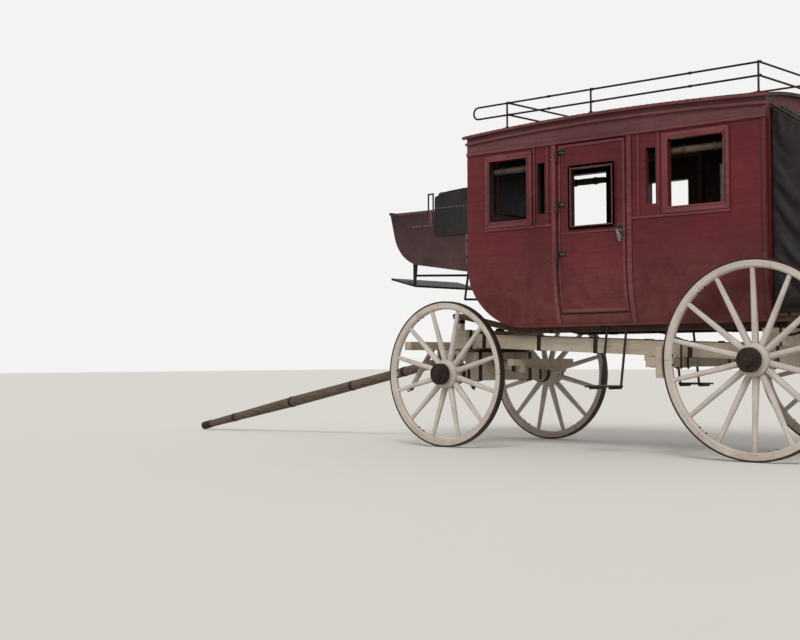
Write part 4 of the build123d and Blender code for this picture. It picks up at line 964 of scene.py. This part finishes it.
strapPieces, buckles = [], []
x = at(coverLook["deep"]) - 0.008
for y in coverLook["straps"]:
    strapPieces.append(addBand("cover_strap", coverLine(0.0050), y, coverLook["strapWide"], 0.005))
    for z in coverLook["buckles"]:
        frameLoop = [(x - 0.001, y + a, z + b) for a, b in loopPoints(0.062, 0.044, 0.010)]
        prong = [(x - 0.001, y, z + 0.022), (x - 0.005, y, z), (x - 0.002, y, z - 0.024)]
        buckles += [addRun("buckle", frameLoop, 0.0032, closed=True), addRun("prong", prong, 0.0026)]
        strapPieces.append(softenEdges(addBlock("keeper", (x - 0.0035, y - 0.027, z - 0.075),
                                                (x + 0.004, y + 0.027, z - 0.057)), 0.002))
hem = []
for side in (-1, 1):
    edge = [(point.x, side * (coverLook["wide"] - 0.001), point.y) for point in coverLine(-0.001)]
    hem.append(addRun("cover_welt", edge, 0.006))
    lap = [(side * 0.543, 1.064), (side * 0.543, 1.104)]
    hem.append(addBand("cover_hem", lap, at(-0.340), 0.590, 0.006, "X"))
hem.append(addBand("cover_hem", [(at(-0.6425), 1.064), (at(-0.6425), 1.104)], 0, 1.082, 0.006))
coverHem = finishPiece(joinPieces("rear_cover_hem", hem), "coach", blackLeather)
finishPiece(joinPieces("rear_cover_straps", strapPieces), "coach", strapLeather)
finishPiece(joinPieces("rear_cover_buckles", buckles), "coach", blackIron)
finishPiece(cover, "coach", blackLeather, ["rear_boot_cover"])

# ---- leather curtains rolled up inside the windows ----
curtainLook = {"radius": 0.031, "inner": 0.010, "turns": 3.5, "thick": 0.0022, "y": 0.5255, "z": 2.326,
               "hem": 0.036, "strapRadius": 0.0325, "straps": (0.22, 0.78), "steps": 96}
rollY, rollZ, rollRadius = curtainLook["y"], curtainLook["z"], curtainLook["radius"]
spiral = []
for step in range(curtainLook["steps"] + 1):
    share = step / curtainLook["steps"]
    angle = share * curtainLook["turns"] * 2 * math.pi
    reach = curtainLook["inner"] + (rollRadius - curtainLook["inner"]) * share - 0.0015
    spiral.append((rollY + reach * math.cos(angle), rollZ - reach * math.sin(angle)))
spiral += [(rollY - rollRadius * 0.985, rollZ + 0.012), (rollY - rollRadius * 0.93, rollZ + 0.026)]
strapRing = [(rollY + curtainLook["strapRadius"] * math.cos(t / 24 * 2 * math.pi),
              rollZ + curtainLook["strapRadius"] * math.sin(t / 24 * 2 * math.pi)) for t in range(24)]
curtains, curtainStraps = [], []
for name, (rear, front, low, high) in windows.items():
    wide = front - rear + curtainLook["hem"]
    roll = addBand(name + "_curtain", spiral, at((rear + front) / 2), wide, curtainLook["thick"], "X")
    cutEdges(roll, lambda a, b: abs(a.x - b.x) > 0.2, 14)
    for vertex in roll.data.vertices:
        along = vertex.co.x * 19 + rear * 7
        pull = 1 - 0.06 * (0.5 + 0.5 * math.sin(along)) - 0.03 * (0.5 + 0.5 * math.sin(along * 2.7 + 1.3))
        vertex.co.y = rollY + (vertex.co.y - rollY) * pull
        vertex.co.z = rollZ + (vertex.co.z - rollZ) * pull
    curtains.append((roll, wide))
    for share in curtainLook["straps"]:
        station = rear + (front - rear) * share
        curtainStraps.append(addBand("curtain_strap", strapRing, at(station), 0.024, 0.003, "X", closed=True))
finishBoth(joinPieces("curtain_straps_left", curtainStraps), "coach", strapLeather)
for roll, wide in curtains:
    for piece, side in ((roll, "left"), (mirroredCopy(roll, roll.name + "_right"), "right")):
        finishPiece(piece, "coach", curtainLeather,
                    ["window_curtains"] if piece.name == "rearWindow_curtain" else ())
print("curtains done")

# ---- thoroughbraces: five strips of leather, one on the other ----
braceLook = {"layers": 5, "layer": 0.009, "width": 0.090, "y": 0.440, "low": 0.9547, "rise": 0.1403,
             "keepers": (-0.085, 0.28, 0.78, 1.45, 1.95)}
braces, keepers = [], []
random.seed(5)
for layer in range(braceLook["layers"]):
    z = braceLook["low"] + (layer + 0.5) * braceLook["layer"]
    ends = random.uniform(0, 0.012)
    high = z + braceLook["rise"]
    corners = ((-0.140 + ends, z), (2.280, z), (2.930, high), (3.012 - ends, high))
    path = roundedCorners([Vector((at(station), height)) for station, height in corners], 0.18, 6)
    wide = braceLook["width"] - random.uniform(0.0, 0.005)
    braces.append(addBand("brace_layer", path, braceLook["y"], wide, braceLook["layer"] - 0.0004))
loop = [(braceLook["y"] + a, braceLook["low"] + 0.0225 + b) for a, b in loopPoints(0.095, 0.0492, 0.006, 3)]
for station in braceLook["keepers"]:
    keepers.append(addBand("brace_keeper", loop, at(station), 0.034, 0.003, "X", closed=True))
finishBoth(joinPieces("brace_left", braces), "coach", strapLeather, ["thoroughbraces"])
finishBoth(joinPieces("brace_keepers_left", keepers), "coach", blackLeather)
print("thoroughbraces done")

# ---- door furniture: a bright lever, screws through the iron ----
doorLook = {"handle": (1.199, 1.735), "hinges": (1.560, 1.960, 2.380), "plateY": 0.6063, "hingeLine": 1.7920,
            "knuckle": 0.046, "hang": 0.32}
handleX, handleZ = doorLook["handle"]
plateY = doorLook["plateY"]
lever = addBlock("lever", (-0.0095, 0.0, -0.088), (0.0095, 0.0065, 0.004))
selectEdges(lever, lambda a, b: a.z < -0.08 and b.z < -0.08)
bpy.ops.transform.resize(value=(1.5, 1, 1), center_override=(0, 0, 0))
objectMode()
softenEdges(lever, 0.0028, 3)
moved(lever, Matrix.Translation((at(handleX), 0.6500, handleZ)) @ Matrix.Rotation(doorLook["hang"], 4, "Y"))
collar = addRod("collar", (at(handleX), 0.6062, handleZ), (at(handleX), 0.6130, handleZ), 0.0165)
softenEdges(collar, 0.002)
knob = moved(domeHead("knob", 0.0125, 0.011, 16),
             Matrix.Translation((at(handleX), 0.6515, handleZ)) @ Matrix.Rotation(-math.pi / 2, 4, "X"))
keyPlate = softBlock("key_plate", (handleX - 0.011, plateY, handleZ - 0.048),
                     (handleX + 0.011, 0.6085, handleZ - 0.022), 0.0018)
finishBoth(joinPieces("door_lever_left", [lever, collar, knob, keyPlate]), "door_", wornSteel)

ironPlaces = [(handleX + dx, plateY, handleZ + dz) for dx in (-0.015, 0.015) for dz in (-0.052, 0.052)]
pillarPlaces = []
for z in doorLook["hinges"]:
    for dx in (0.024, 0.044, 0.060):
        ironPlaces.append((doorLook["hingeLine"] - dx, plateY, z + doorLook["knuckle"] / 2))
        pillarPlaces.append((doorLook["hingeLine"] + dx, plateY, z - doorLook["knuckle"] / 2))
ironScrew = domeHead("iron_screw", 0.0058, 0.003, 10)
doorHeads = placedCopies("hinge_screws_left", placedCopy(ironScrew), facingOut(ironPlaces))
pillarHeads = placedCopies("pillar_screws_left", ironScrew, facingOut(pillarPlaces))
finishBoth(doorHeads, "door_", wornSteel)
finishBoth(pillarHeads, "coach", wornSteel)
print("door furniture done")

# ---- driver's boot: moulding, rim strip, and the seat's leather ----
bootY = 0.580            # outer face of the boot
bootPieces = [softBlock("boot_strip", (rear, bootY - 0.002, low), (front, bootY + proud, high), eased)
              for rear, front, low, high, proud, eased in (
                  (3.105, 3.420, 1.907, 1.926, 0.007, 0.003), (3.150, 3.180, 1.926, 2.036, 0.005, 0.002),
                  (2.742, 3.600, 2.030, 2.048, 0.006, 0.003), (2.739, 2.775, 1.560, 2.030, 0.005, 0.002))]
flapLook = {"rear": 2.744, "long": 0.366, "low": 1.820, "high": 2.214, "slope": 0.052, "wave": 0.0016}
flap = addBlock("seat_flap", (at(flapLook["rear"]), bootY + 0.0065, flapLook["low"]),
                (at(flapLook["rear"] + flapLook["long"]), bootY + 0.0100, flapLook["high"]))
cutEdges(flap, lambda a, b: abs(a.y - b.y) < 0.001, 12)
for vertex in flap.data.vertices:
    along = (vertex.co.x - rearAxleX - flapLook["rear"]) / flapLook["long"]
    up = max(0.0, (vertex.co.z - flapLook["low"]) / (flapLook["high"] - flapLook["low"]))
    vertex.co.z -= flapLook["slope"] * along * along * up
    ripple = math.sin(along * 9 + vertex.co.z * 17) * min(1.0, along * 4, (1 - along) * 4)
    vertex.co.y += flapLook["wave"] * ripple
softenEdges(flap, 0.0014)
flapEdge = [(2.744, 1.822), (2.744, 2.214), (2.960, 2.200), (3.108, 2.160), (3.111, 1.842), (3.090, 1.822),
            (2.744, 1.822)]
flapLoop = roundedCorners([Vector((at(x), z)) for x, z in flapEdge], 0.02, 3)
flapWelt = addRun("flap_welt", [(point.x, bootY + 0.0095, point.y) for point in flapLoop], 0.0040)
rollLine = [(at(3.112), y, 2.122 + 0.006 * math.cos(y * 9)) for y in [-0.560 + 0.056 * n for n in range(21)]]
seatRoll = addRun("seat_roll", rollLine, 0.013, rounds=6)
frontPiping = addRun("seat_front_piping", [(at(3.1115), -0.574, 2.064), (at(3.1115), 0.574, 2.064)], 0.0045)
nailPlaces = [(2.760 + 0.0325 * n, bootY + 0.0108, 2.062) for n in range(11)]
boltPlaces = [(x, bootY + 0.0065, 1.9165) for x in (3.125, 3.265, 3.400)]
boltPlaces += [(x, bootY + 0.0055, 2.039) for x in (3.20, 3.40, 3.57)]
boltPlaces += [(2.757, bootY + 0.0045, z) for z in (1.62, 1.76)]
nails = placedCopies("seat_nails_left", domeHead("seat_nail", 0.0062, 0.0042, 10), facingOut(nailPlaces))
bootBolts = placedCopies("boot_bolts_left", domeHead("boot_bolt", 0.0095, 0.006, 12), facingOut(boltPlaces))
# the strips take the paler paint, a painted highlight along the boot's rim and moulding
finishBoth(joinPieces("boot_trim_left", bootPieces), "coach", bootTrim)
finishBoth(joinPieces("seat_leather_left", [flap, flapWelt]), "coach", blackLeather)
finishBoth(nails, "coach", wornSteel)
finishBoth(bootBolts, "coach", blackIron)
finishPiece(joinPieces("seat_front_leather", [seatRoll, frontPiping]), "coach", blackLeather)
print("boot and seat done")

# ---- roof: canvas nailed over the edge, lapped seams, and battens under the rack ----
roofLook = {"tackFrom": -0.0338, "tackStep": 0.058, "tacks": 49, "edgeY": 0.600, "seams": (0.62, 1.30, 1.98),
            "battens": (-0.36, -0.18, 0.0, 0.18, 0.36), "battenThick": 0.014, "tape": 0.0024, "seam": 0.0028}
rackLook = {"posts": (0.048, 1.508, 2.350), "postY": 0.536, "railY": 0.520, "rails": (2.800, 2.900),
            "clips": (0.048, 0.62, 1.508, 1.93, 2.350)}
roof = solids["cabin_roof"]


def layOnRoof(name, rear, front, right, left, thick, cutsLong, cutsWide):
    # a sheet dropped on the roof's curve, then given its thickness
    nothingSelected()
    bpy.ops.mesh.primitive_grid_add(x_subdivisions=cutsLong, y_subdivisions=cutsWide, size=1,
                                    location=(at((rear + front) / 2), (right + left) / 2, 3.2))
    sheet = bpy.context.object
    sheet.scale = (front - rear, left - right, 1)
    settle(sheet, name)
    applyModifier(sheet, "SHRINKWRAP", target=roof, wrap_method="PROJECT", use_project_z=True,
                  use_negative_direction=True, use_positive_direction=False, offset=0.0)
    applyModifier(sheet, "SOLIDIFY", thickness=thick, offset=1.0)
    return softenEdges(sheet, min(0.003, thick * 0.4), 2, 50)


def onRoof(station, y, lift):
    hit, place, normal, index = roof.ray_cast(Vector((at(station), y, 3.4)), Vector((0, 0, -1)))
    return standing(place + normal * lift, normal)


roofSeams = [layOnRoof("roof_seam", x - 0.016, x + 0.016, -0.612, 0.612, roofLook["seam"], 2, 40)
             for x in roofLook["seams"]]
roofSeams += [layOnRoof("roof_edge_tape", -0.050, 2.745, y - 0.014, y + 0.014, roofLook["tape"], 48, 2)
              for y in (-roofLook["edgeY"], roofLook["edgeY"])]
finishPiece(joinPieces("roof_seams", roofSeams), "coach", roofCanvas)
battens = [layOnRoof("roof_batten", 0.10, 2.60, y - 0.024, y + 0.024, roofLook["battenThick"], 42, 2)
           for y in roofLook["battens"]]
finishPiece(joinPieces("roof_battens", battens), "coach", darkWood)
tackPlaces = [onRoof(roofLook["tackFrom"] + n * roofLook["tackStep"], y, roofLook["tape"])
              for n in range(roofLook["tacks"]) for y in (-roofLook["edgeY"], roofLook["edgeY"])]
tackPlaces += [onRoof(station + dx, -0.57 + 0.06 * n, roofLook["seam"])
               for station in roofLook["seams"] for n in range(20) for dx in (-0.009, 0.009)]
tackPlaces += [onRoof(station, y, roofLook["battenThick"])
               for y in roofLook["battens"] for station in (0.14, 0.60, 1.06, 1.52, 1.98, 2.44, 2.57)]
tack = domeHead("roof_tack", 0.0056, 0.003, 8)
finishPiece(placedCopies("roof_tacks", tack, tackPlaces), "coach", blackIron)

rackFeet = []
for station in rackLook["posts"]:
    for y in (-rackLook["postY"], rackLook["postY"]):
        place = onRoof(station + 0.03, y, 0.0)      # beside the post, or the ray would meet its foot
        place[0][3] = at(station)
        foot = softenEdges(addRod("rack_foot", (0, 0, -0.006), (0, 0, 0.005), 0.027), 0.002)
        boss = softenEdges(addRod("rack_boss", (0, 0, 0.002), (0, 0, 0.017), 0.0125, 16), 0.002)
        bolts = placedCopies("rack_foot_bolts", nutHead("rack_nut", 0.0085, 0.005, 6), [
            Matrix.Translation((0.0185 * math.cos(a), 0.0185 * math.sin(a), 0.005)) for a in (0.5, 2.6, 4.7)])
        rackFeet.append(moved(joinPieces("rack_foot", [foot, boss, bolts]), place))
for y in (-rackLook["railY"], rackLook["railY"]):
    for station in rackLook["clips"]:
        for z in rackLook["rails"]:
            clip = addRod("rack_clip", (at(station) - 0.012, y, z), (at(station) + 0.012, y, z), 0.0112, 14)
            rackFeet.append(softenEdges(clip, 0.0015))
finishPiece(joinPieces("rack_fittings", rackFeet), "coach", blackIron)
print("roof done")

# ---- end walls: panels framed in planted strips ----
endLook = {"front": 2.735, "back": -0.040, "wide": 0.545, "low": 2.235, "high": 2.600, "strip": 0.045}
frontIn, frontOut = endLook["front"] - 0.002, endLook["front"] + 0.008
half = endLook["strip"] / 2
wide, low, high = endLook["wide"], endLook["low"], endLook["high"]
endStrips = [softBlock("end_rail", (frontIn, -wide, foot), (frontOut, wide, foot + endLook["strip"]), 0.003)
             for foot in (low - endLook["strip"], high)]
endStrips += [softBlock("end_stile", (frontIn, y - half, low), (frontOut - 0.001, y + half, high), 0.003)
              for y in (-wide + half, -0.19, 0.19, wide - half)]
endStrips += [softBlock("back_stile", (endLook["back"] - 0.007, y - 0.004, 1.560),
                        (endLook["back"] + 0.002, y + 0.004, 2.560), 0.003) for y in (-0.553, 0.553)]
finishPiece(joinPieces("end_wall_trim", endStrips), "coach", trimPaint)

# ---- inside: posts on the front wall, stops behind the doors, grab straps ----
insidePieces = [softBlock("inner_post", (2.660, y - 0.022, 2.012), (2.6925, y + 0.022, 2.560), 0.004)
                for y in (-0.28, 0.28)]
for rear, front, low, high in (
        (1.120, 1.820, 2.448, 2.515), (1.120, 1.162, 1.52, 2.448), (1.782, 1.820, 1.52, 2.448)):
    stop = softBlock("door_stop", (rear, 0.530, low), (front, 0.5505, high), 0.003)
    insidePieces += [stop, mirroredCopy(stop, "door_stop")]
finishPiece(joinPieces("inner_posts", insidePieces), "coach", innerWood)
grabLook = {"reach": 0.07, "drop": 0.20, "top": 2.36, "steps": 16}
grabPieces = []
for y in (-0.5, 0.5):
    for station in (0.06, 2.62):
        loop = []
        for step in range(grabLook["steps"] + 1):
            bow = math.sin(step / grabLook["steps"] * math.pi)
            loop.append((at(station + grabLook["reach"] * bow),
                         grabLook["top"] - grabLook["drop"] * bow ** 0.5 - 0.0001 * step))
        grabPieces.append(addBand("grab_strap", loop, y, 0.022, 0.004))
finishPiece(joinPieces("grab_straps", grabPieces), "coach", strapLeather)
print("inside done")

# ---- running gear irons: clips round the beams, with nuts under them ----
perchLook = {"y": 0.380, "wide": 0.090, "high": 0.115, "slope": 0.04542, "rear": (0.060, 0.778),
             "clips": (0.130, 0.700, 1.560, 2.120, 2.700)}
coachClips, frontClips, coachNuts, frontNuts = [], [], [], []
perchTilt = -math.atan(perchLook["slope"])
for station in perchLook["clips"]:
    z = perchLook["rear"][1] + (station - perchLook["rear"][0]) * perchLook["slope"]
    for sign in (-1, 1):
        coachClips.append(clipAround(
            "perch_clip", (at(station), sign * perchLook["y"], z), perchLook["high"] + 0.0012,
            perchLook["wide"] + 0.0012, 0.040, 0.004, "X", perchTilt))
        coachNuts += [standing((at(station) + dx, sign * (perchLook["y"] + 0.0492), z), (0, sign, 0), 0.3)
                      for dx in (-0.011, 0.011)]
for sign in (-1, 1):
    axleY, bolsterY = sign * 0.510, sign * 0.562
    for clips, name, station, y, z, tall, deep, wide, thick in (
            (coachClips, "rear_axle_clip", 0, axleY, 0.7453, 0.161, 0.121, 0.044, 0.005),
            (coachClips, "rear_bolster_clip", -0.050, bolsterY, 0.88985, 0.1302, 0.121, 0.036, 0.004),
            (frontClips, "front_axle_clip", frontAxle, sign * 0.360, 0.6813, 0.2475, 0.121, 0.044, 0.005),
            (frontClips, "front_axle_band", frontAxle, sign * 0.520, 0.6183, 0.1210, 0.121, 0.036, 0.004),
            (coachClips, "transom_clip", frontAxle, sign * 0.500, 0.9128, 0.1608, 0.1408, 0.040, 0.004)):
        clips.append(clipAround(name, (at(station), y, z), tall, deep, wide, thick))
    coachClips.append(softBlock("transom_plate", (2.929, sign * 0.170 - 0.024, 0.845),
                                (2.935, sign * 0.170 + 0.024, 0.980), 0.0015))
    upright = Matrix.Translation((at(2.961), sign * 0.440, 1.070)) @ Matrix.Rotation(math.pi / 2, 4, "X")
    coachClips.append(moved(clipAround("standard_band", (0, 0, 0), 0.0622, 0.0622, 0.028, 0.004), upright))
    for dx in (-0.035, 0.035):
        coachNuts.append(standing((at(dx), axleY, 0.6618), (0, 0, -1), 0.4))
        coachNuts.append(standing((at(-0.050 + dx), bolsterY, 0.9572), (0, 0, 1), 0.2))
        frontNuts.append(standing((at(frontAxle + dx), sign * 0.360, 0.5544), (0, 0, -1), 0.4))
    coachNuts += [standing((at(2.9345), sign * y, z), (1, 0, 0), 0.3)
                  for y in (0.500, 0.170) for z in (0.8678, 0.9578)]
    coachNuts += [standing((at(2.992), sign * 0.440, z), (1, 0, 0), 0.2) for z in (0.880, 0.960, 1.050)]
for angle in (45, 135, 225, 315, 405):
    turned = math.radians(angle)
    x, y = at(frontAxle) + 0.233 * math.cos(turned), 0.233 * math.sin(turned)
    frontNuts.append(standing((x, y, 0.8045), (0, 0, -1), turned))
    coachNuts.append(standing((x, y, 0.8325), (0, 0, 1), turned))
gearNut = nutHead("gear_nut", 0.0125, 0.009)
finishPiece(placedCopies("coach_gear_nuts", placedCopy(gearNut), coachNuts), "coach", blackIron)
finishPiece(placedCopies("front_gear_nuts", gearNut, frontNuts), "front_gear", blackIron)
finishPiece(joinPieces("coach_gear_clips", coachClips), "coach", blackIron)
finishPiece(joinPieces("front_gear_clips", frontClips), "front_gear", blackIron)
print("running gear irons done")

# ---- wheels: bolts through tyre and felloes, and the axle nuts ----
wheelLook = {"boltAcross": 0.0120, "boltHigh": 0.007, "shift": 0.052, "nutRadius": 0.02852, "nutY": 0.1180}
nutY = wheelLook["nutY"]      # from the wheel's middle out to the face of its cap
for end, size in wheelSizes.items():
    places = []
    for joint in range(size["felloes"]):
        for shift in (-wheelLook["shift"], wheelLook["shift"]):
            angle = joint * 2 * math.pi / size["felloes"] + shift
            out = Vector((math.cos(angle), 0, math.sin(angle)))
            places.append(standing(out * (size["rimInner"] + 0.0005), -out))
    bolt = nutHead("rim_bolt", wheelLook["boltAcross"], wheelLook["boltHigh"])
    bolts = placedCopies("rim_bolts", bolt, places)
    nut = addRod("axle_nut", (0, nutY, 0), (0, nutY + 0.0085, 0), wheelLook["nutRadius"], 6)
    softenEdges(nut, 0.002)
    stem = softenEdges(addRod("axle_end", (0, nutY, 0), (0, nutY + 0.0135, 0), 0.0125, 16), 0.002)
    pin = addRod("linch_pin", (-0.0135, nutY + 0.0115, 0.004), (0.0135, nutY + 0.0115, 0.004), 0.0028, 8)
    made = joinPieces("wheel_bolts", [bolts, nut, stem, pin])
    for side, sign in sides:
        copy = mirroredCopy(made, "turned") if sign < 0 else placedCopy(made)
        moved(copy, Matrix.Translation((at(size["station"]), sign * wheelY, size["axle"])))
        copy.name = end + "_wheel_bolts_" + side
        finishPiece(copy, end + "_wheel_" + side, blackIron)
    bpy.data.objects.remove(made)
print("wheel bolts done")

# ---- treads of the steps, pole and swingletrees ----
treadBars = [softBlock("tread_bar", (1.190, y, 0.531), (1.410, y + 0.008, 0.5355), 0.0015)
             for y in [0.630 + 0.026 * n for n in range(6)]]
finishBoth(joinPieces("step_treads_left", treadBars), "coach", wornSteel)

poleLook = {"pivot": (3.300, 0.7725), "slope": 0.1983, "butt": 0.042, "plate": (-0.138, 0.072),
            "collars": ((0.72, 0.0436), (1.42, 0.0473), (2.295, 0.0522), (3.20, 0.0417)), "ferrule": 0.0410}


def onPole(distance):
    return (Matrix.Translation((at(poleLook["pivot"][0]), 0, poleLook["pivot"][1]))
            @ Matrix.Rotation(poleLook["slope"], 4, "Y") @ Matrix.Translation((distance, 0, 0)))


poleIrons = []
for distance, radius in poleLook["collars"]:
    collar = softenEdges(addRod("pole_collar", (-0.019, 0, 0), (0.019, 0, 0), radius + 0.0032, 28), 0.0015)
    poleIrons.append(moved(collar, onPole(distance)))
rivets = [(distance, turn, radius + 0.0030, 0.0062, 0.0035) for distance, radius in poleLook["collars"]
          for turn in (0.9, 2.24)]
rivets += [(distance, turn, poleLook["ferrule"], 0.0058, 0.003) for distance in (3.625, 3.690)
           for turn in (0.25, 1.571, 2.89)]
for distance, turn, reach, radius, height in rivets:
    out = Vector((0, math.cos(turn), math.sin(turn)))
    rivet = domeHead("pole_rivet", radius, height, 10)
    poleIrons.append(moved(rivet, onPole(distance) @ standing(out * reach, out)))
plateTop = poleLook["butt"] + 0.0045
plate = addBlock("butt_plate", (poleLook["plate"][0], -0.030, poleLook["butt"] - 0.001),
                 (poleLook["plate"][1], 0.030, plateTop))
poleIrons.append(moved(softenEdges(plate, 0.0015), onPole(0)))
for distance, y in ((-0.115, -0.012), (-0.045, -0.012), (0.050, 0.012)):
    nut = nutHead("butt_nut", 0.0125, 0.009)
    poleIrons.append(moved(nut, onPole(distance) @ Matrix.Translation((0, y, plateTop))))
finishPiece(joinPieces("pole_fittings", poleIrons), "pole", blackIron)

treeTop, treeRun = Vector((at(3.5273), 0.1032, 0.8904)), Vector((0, 0.6428, -0.7660))
treeBands = ((0.060, 0.090, 0.0236), (0.252, 0.288, 0.0296), (0.502, 0.5405, 0.0222))
hookLine = ((-0.004, 0), (0.018, 0), (0.028, 0.010), (0.024, 0.024), (0.004, 0.030))
treeIrons = []
for start, end, radius in treeBands:
    band = addRod("tree_band", treeTop + treeRun * start, treeTop + treeRun * end, radius)
    treeIrons.append(softenEdges(band, 0.0015))
hookTop = treeBands[-1][1]
treeIrons.append(addRun("trace_hook", [treeTop + treeRun * (hookTop + down) + Vector((out, 0, 0))
                                       for down, out in hookLine], 0.0046))
finishBoth(joinPieces("tree_irons_left", treeIrons), "front_gear", blackIron)

houndTurn = Matrix.Rotation(-0.1914, 4, "Z") @ Matrix.Rotation(-0.1293, 4, "Y")
houndClips = []
for station, y, z in ((3.440, 0.0946, 0.7987), (2.470, 0.2826, 0.6726)):
    clip = addBand("hound_clip", loopPoints(0.0650, 0.0710, 0.004, 2), 0, 0.036, 0.004, "X", closed=True)
    nut = nutHead("hound_nut", 0.0125, 0.009)
    houndClips += [moved(clip, Matrix.Translation((at(station), y, z)) @ houndTurn),
                   moved(nut, standing((at(station), y, z + 0.0372), (-0.13, 0, 1), 0.3))]
finishBoth(joinPieces("hound_clips_left", houndClips), "front_gear", blackIron)
print("pole and swingletrees done")

# ---- brake hangers, stays of the rear platform, brackets of the foot plate ----
hangerY = (0.328, 0.432)
boltLine = roundedCorners([Vector((y, z)) for y, z in (
    (hangerY[0], 0.660), (hangerY[0], 0.876), (hangerY[1], 0.876), (hangerY[1], 0.660))], 0.014, 4)
frameIrons = [addRun("u_bolt", [(at(station), point.x, point.y) for point in boltLine], 0.0062)
              for station in (0.7745, 0.8755)]
frameIrons.append(softBlock("hanger_plate", (0.760, 0.312, 0.6685), (0.890, 0.448, 0.6745), 0.0015))
frameIrons.append(clipAround("shoe_clip", (at(0.825), 0.700, 0.7142), 0.0782, 0.0862, 0.036, 0.004))
stayLine = roundedCorners([Vector((at(station), z)) for station, z in (
    (-0.600, 0.9965), (-0.520, 0.9965), (-0.170, 0.9050), (-0.112, 0.9050))], 0.05, 5)
stayLine = [(point.x, 0.500, point.y) for point in stayLine]
frameIrons.append(addRun("platform_stay", stayLine, 0.0095, rounds=4))
hangerNuts = [(station, y, 0.6682) for station in (0.7745, 0.8755) for y in hangerY]
for across, height, direction, roll, places in (
        (0.0125, 0.009, (0, 0, -1), 0.2, hangerNuts),
        (0.0125, 0.009, (0, 0, -1), 0.2, [(-0.570, 0.500, 0.9880)]),
        (0.0135, 0.010, (1, 0, 0), 0.4, [(0.868, 0.760, 0.694), (0.868, 0.760, 0.734)]),
        (0.0120, 0.008, (0, 1, 0), 0.3, [(3.462, 0.4590, 1.585), (3.462, 0.4590, 1.545)])):
    for station, y, z in places:
        nut = nutHead("frame_nut", across, height)
        frameIrons.append(moved(nut, standing((at(station), y, z), direction, roll)))
bracket = addBlock("foot_bracket", (at(3.444), 0.4485, 1.404), (at(3.486), 0.4590, 1.605))
selectEdges(bracket, lambda a, b: max(a.z, b.z) < 1.42)
bpy.ops.transform.resize(value=(0.62, 1, 1), center_override=(at(3.480), 0.4540, 1.404))
objectMode()
toeTurn = Matrix.Translation((at(3.480), 0, 1.420)) @ Matrix.Rotation(-0.2531, 4, "Y")
toe = softBlock("foot_bracket_toe", (3.452, 0.4300, 1.4300), (3.560, 0.4590, 1.4375), 0.0018)
frameIrons += [softenEdges(bracket, 0.002), moved(toe, toeTurn @ Matrix.Translation((-at(3.480), 0, -1.424)))]
finishBoth(joinPieces("frame_irons_left", frameIrons), "coach", blackIron)
print("frame irons done")

# ---- floor, light and camera ----
studioLook = {
    "floor": (212, 208, 202), "floorDull": (200, 195, 188), "sky": 0.62, "backdrop": (0.90, 0.895, 0.885, 1),
    "sun": 1.9, "sunSize": 24, "sunFrom": (-0.42, 0.72, 0.75),
}
nothingSelected()
bpy.ops.mesh.primitive_plane_add(size=160, location=(0, 0, -0.0005))
studioFloor = settle(bpy.context.object, "studioFloor")
floorFinish = Finish("floorFinish")
floorTone = floorFinish.tones(floorFinish.between(floorFinish.noise(0.9, 3), 0.3, 0.7, 0, 0.12),
                              studioLook["floor"], studioLook["floorDull"])
studioFloor.data.materials.append(floorFinish.done(floorTone, 0.8))

world = bpy.data.worlds.new("softStudio")
bpy.context.scene.world = world
world.use_nodes = True
sky = world.node_tree
sky.nodes["Background"].inputs["Color"].default_value = (1, 1, 1, 1)
sky.nodes["Background"].inputs["Strength"].default_value = studioLook["sky"]
backdrop = sky.nodes.new("ShaderNodeBackground")
backdrop.inputs["Color"].default_value = studioLook["backdrop"]
rays = sky.nodes.new("ShaderNodeLightPath")
skyMix = sky.nodes.new("ShaderNodeMixShader")
shown = rays.outputs["Is Camera Ray"]
for kind in ("Is Glossy Ray", "Is Transmission Ray"):      # metal and gloss show the backdrop too
    either = sky.nodes.new("ShaderNodeMath")
    either.operation = "MAXIMUM"
    sky.links.new(shown, either.inputs[0])
    sky.links.new(rays.outputs[kind], either.inputs[1])
    shown = either.outputs[0]
sky.links.new(shown, skyMix.inputs[0])
sky.links.new(sky.nodes["Background"].outputs[0], skyMix.inputs[1])
sky.links.new(backdrop.outputs[0], skyMix.inputs[2])
sky.links.new(skyMix.outputs[0], sky.nodes["World Output"].inputs["Surface"])

sunData = bpy.data.lights.new("softSun", "SUN")
sunData.energy = studioLook["sun"]
sunData.angle = math.radians(studioLook["sunSize"])
sun = bpy.data.objects.new("softSun", sunData)
sun.rotation_euler = Vector(studioLook["sunFrom"]).to_track_quat("Z", "Y").to_euler()
bpy.context.scene.collection.objects.link(sun)

cameraLook = {"place": (-7.7068, 9.5794, 0.729), "lens": 61.04, "yaw": 0.7346, "pitch": 0.0304,
              "roll": -0.0052}
cameraData = bpy.data.cameras.new("photoCamera")
cameraData.lens = cameraLook["lens"]
cameraData.clip_end = 300
camera = bpy.data.objects.new("photoCamera", cameraData)
bpy.context.scene.collection.objects.link(camera)
yaw, pitch = cameraLook["yaw"], cameraLook["pitch"]
towards = Vector((math.sin(yaw) * math.cos(pitch), -math.cos(yaw) * math.cos(pitch), math.sin(pitch)))
right = towards.cross(Vector((0, 0, 1))).normalized()
turn = Matrix((right, right.cross(towards), -towards)).transposed().to_4x4()
turn = turn @ Matrix.Rotation(cameraLook["roll"], 4, "Z")
camera.matrix_world = Matrix.Translation(cameraLook["place"]) @ turn
bpy.context.scene.camera = camera
bpy.context.scene.view_settings.view_transform = "Standard"
print("studio ready")
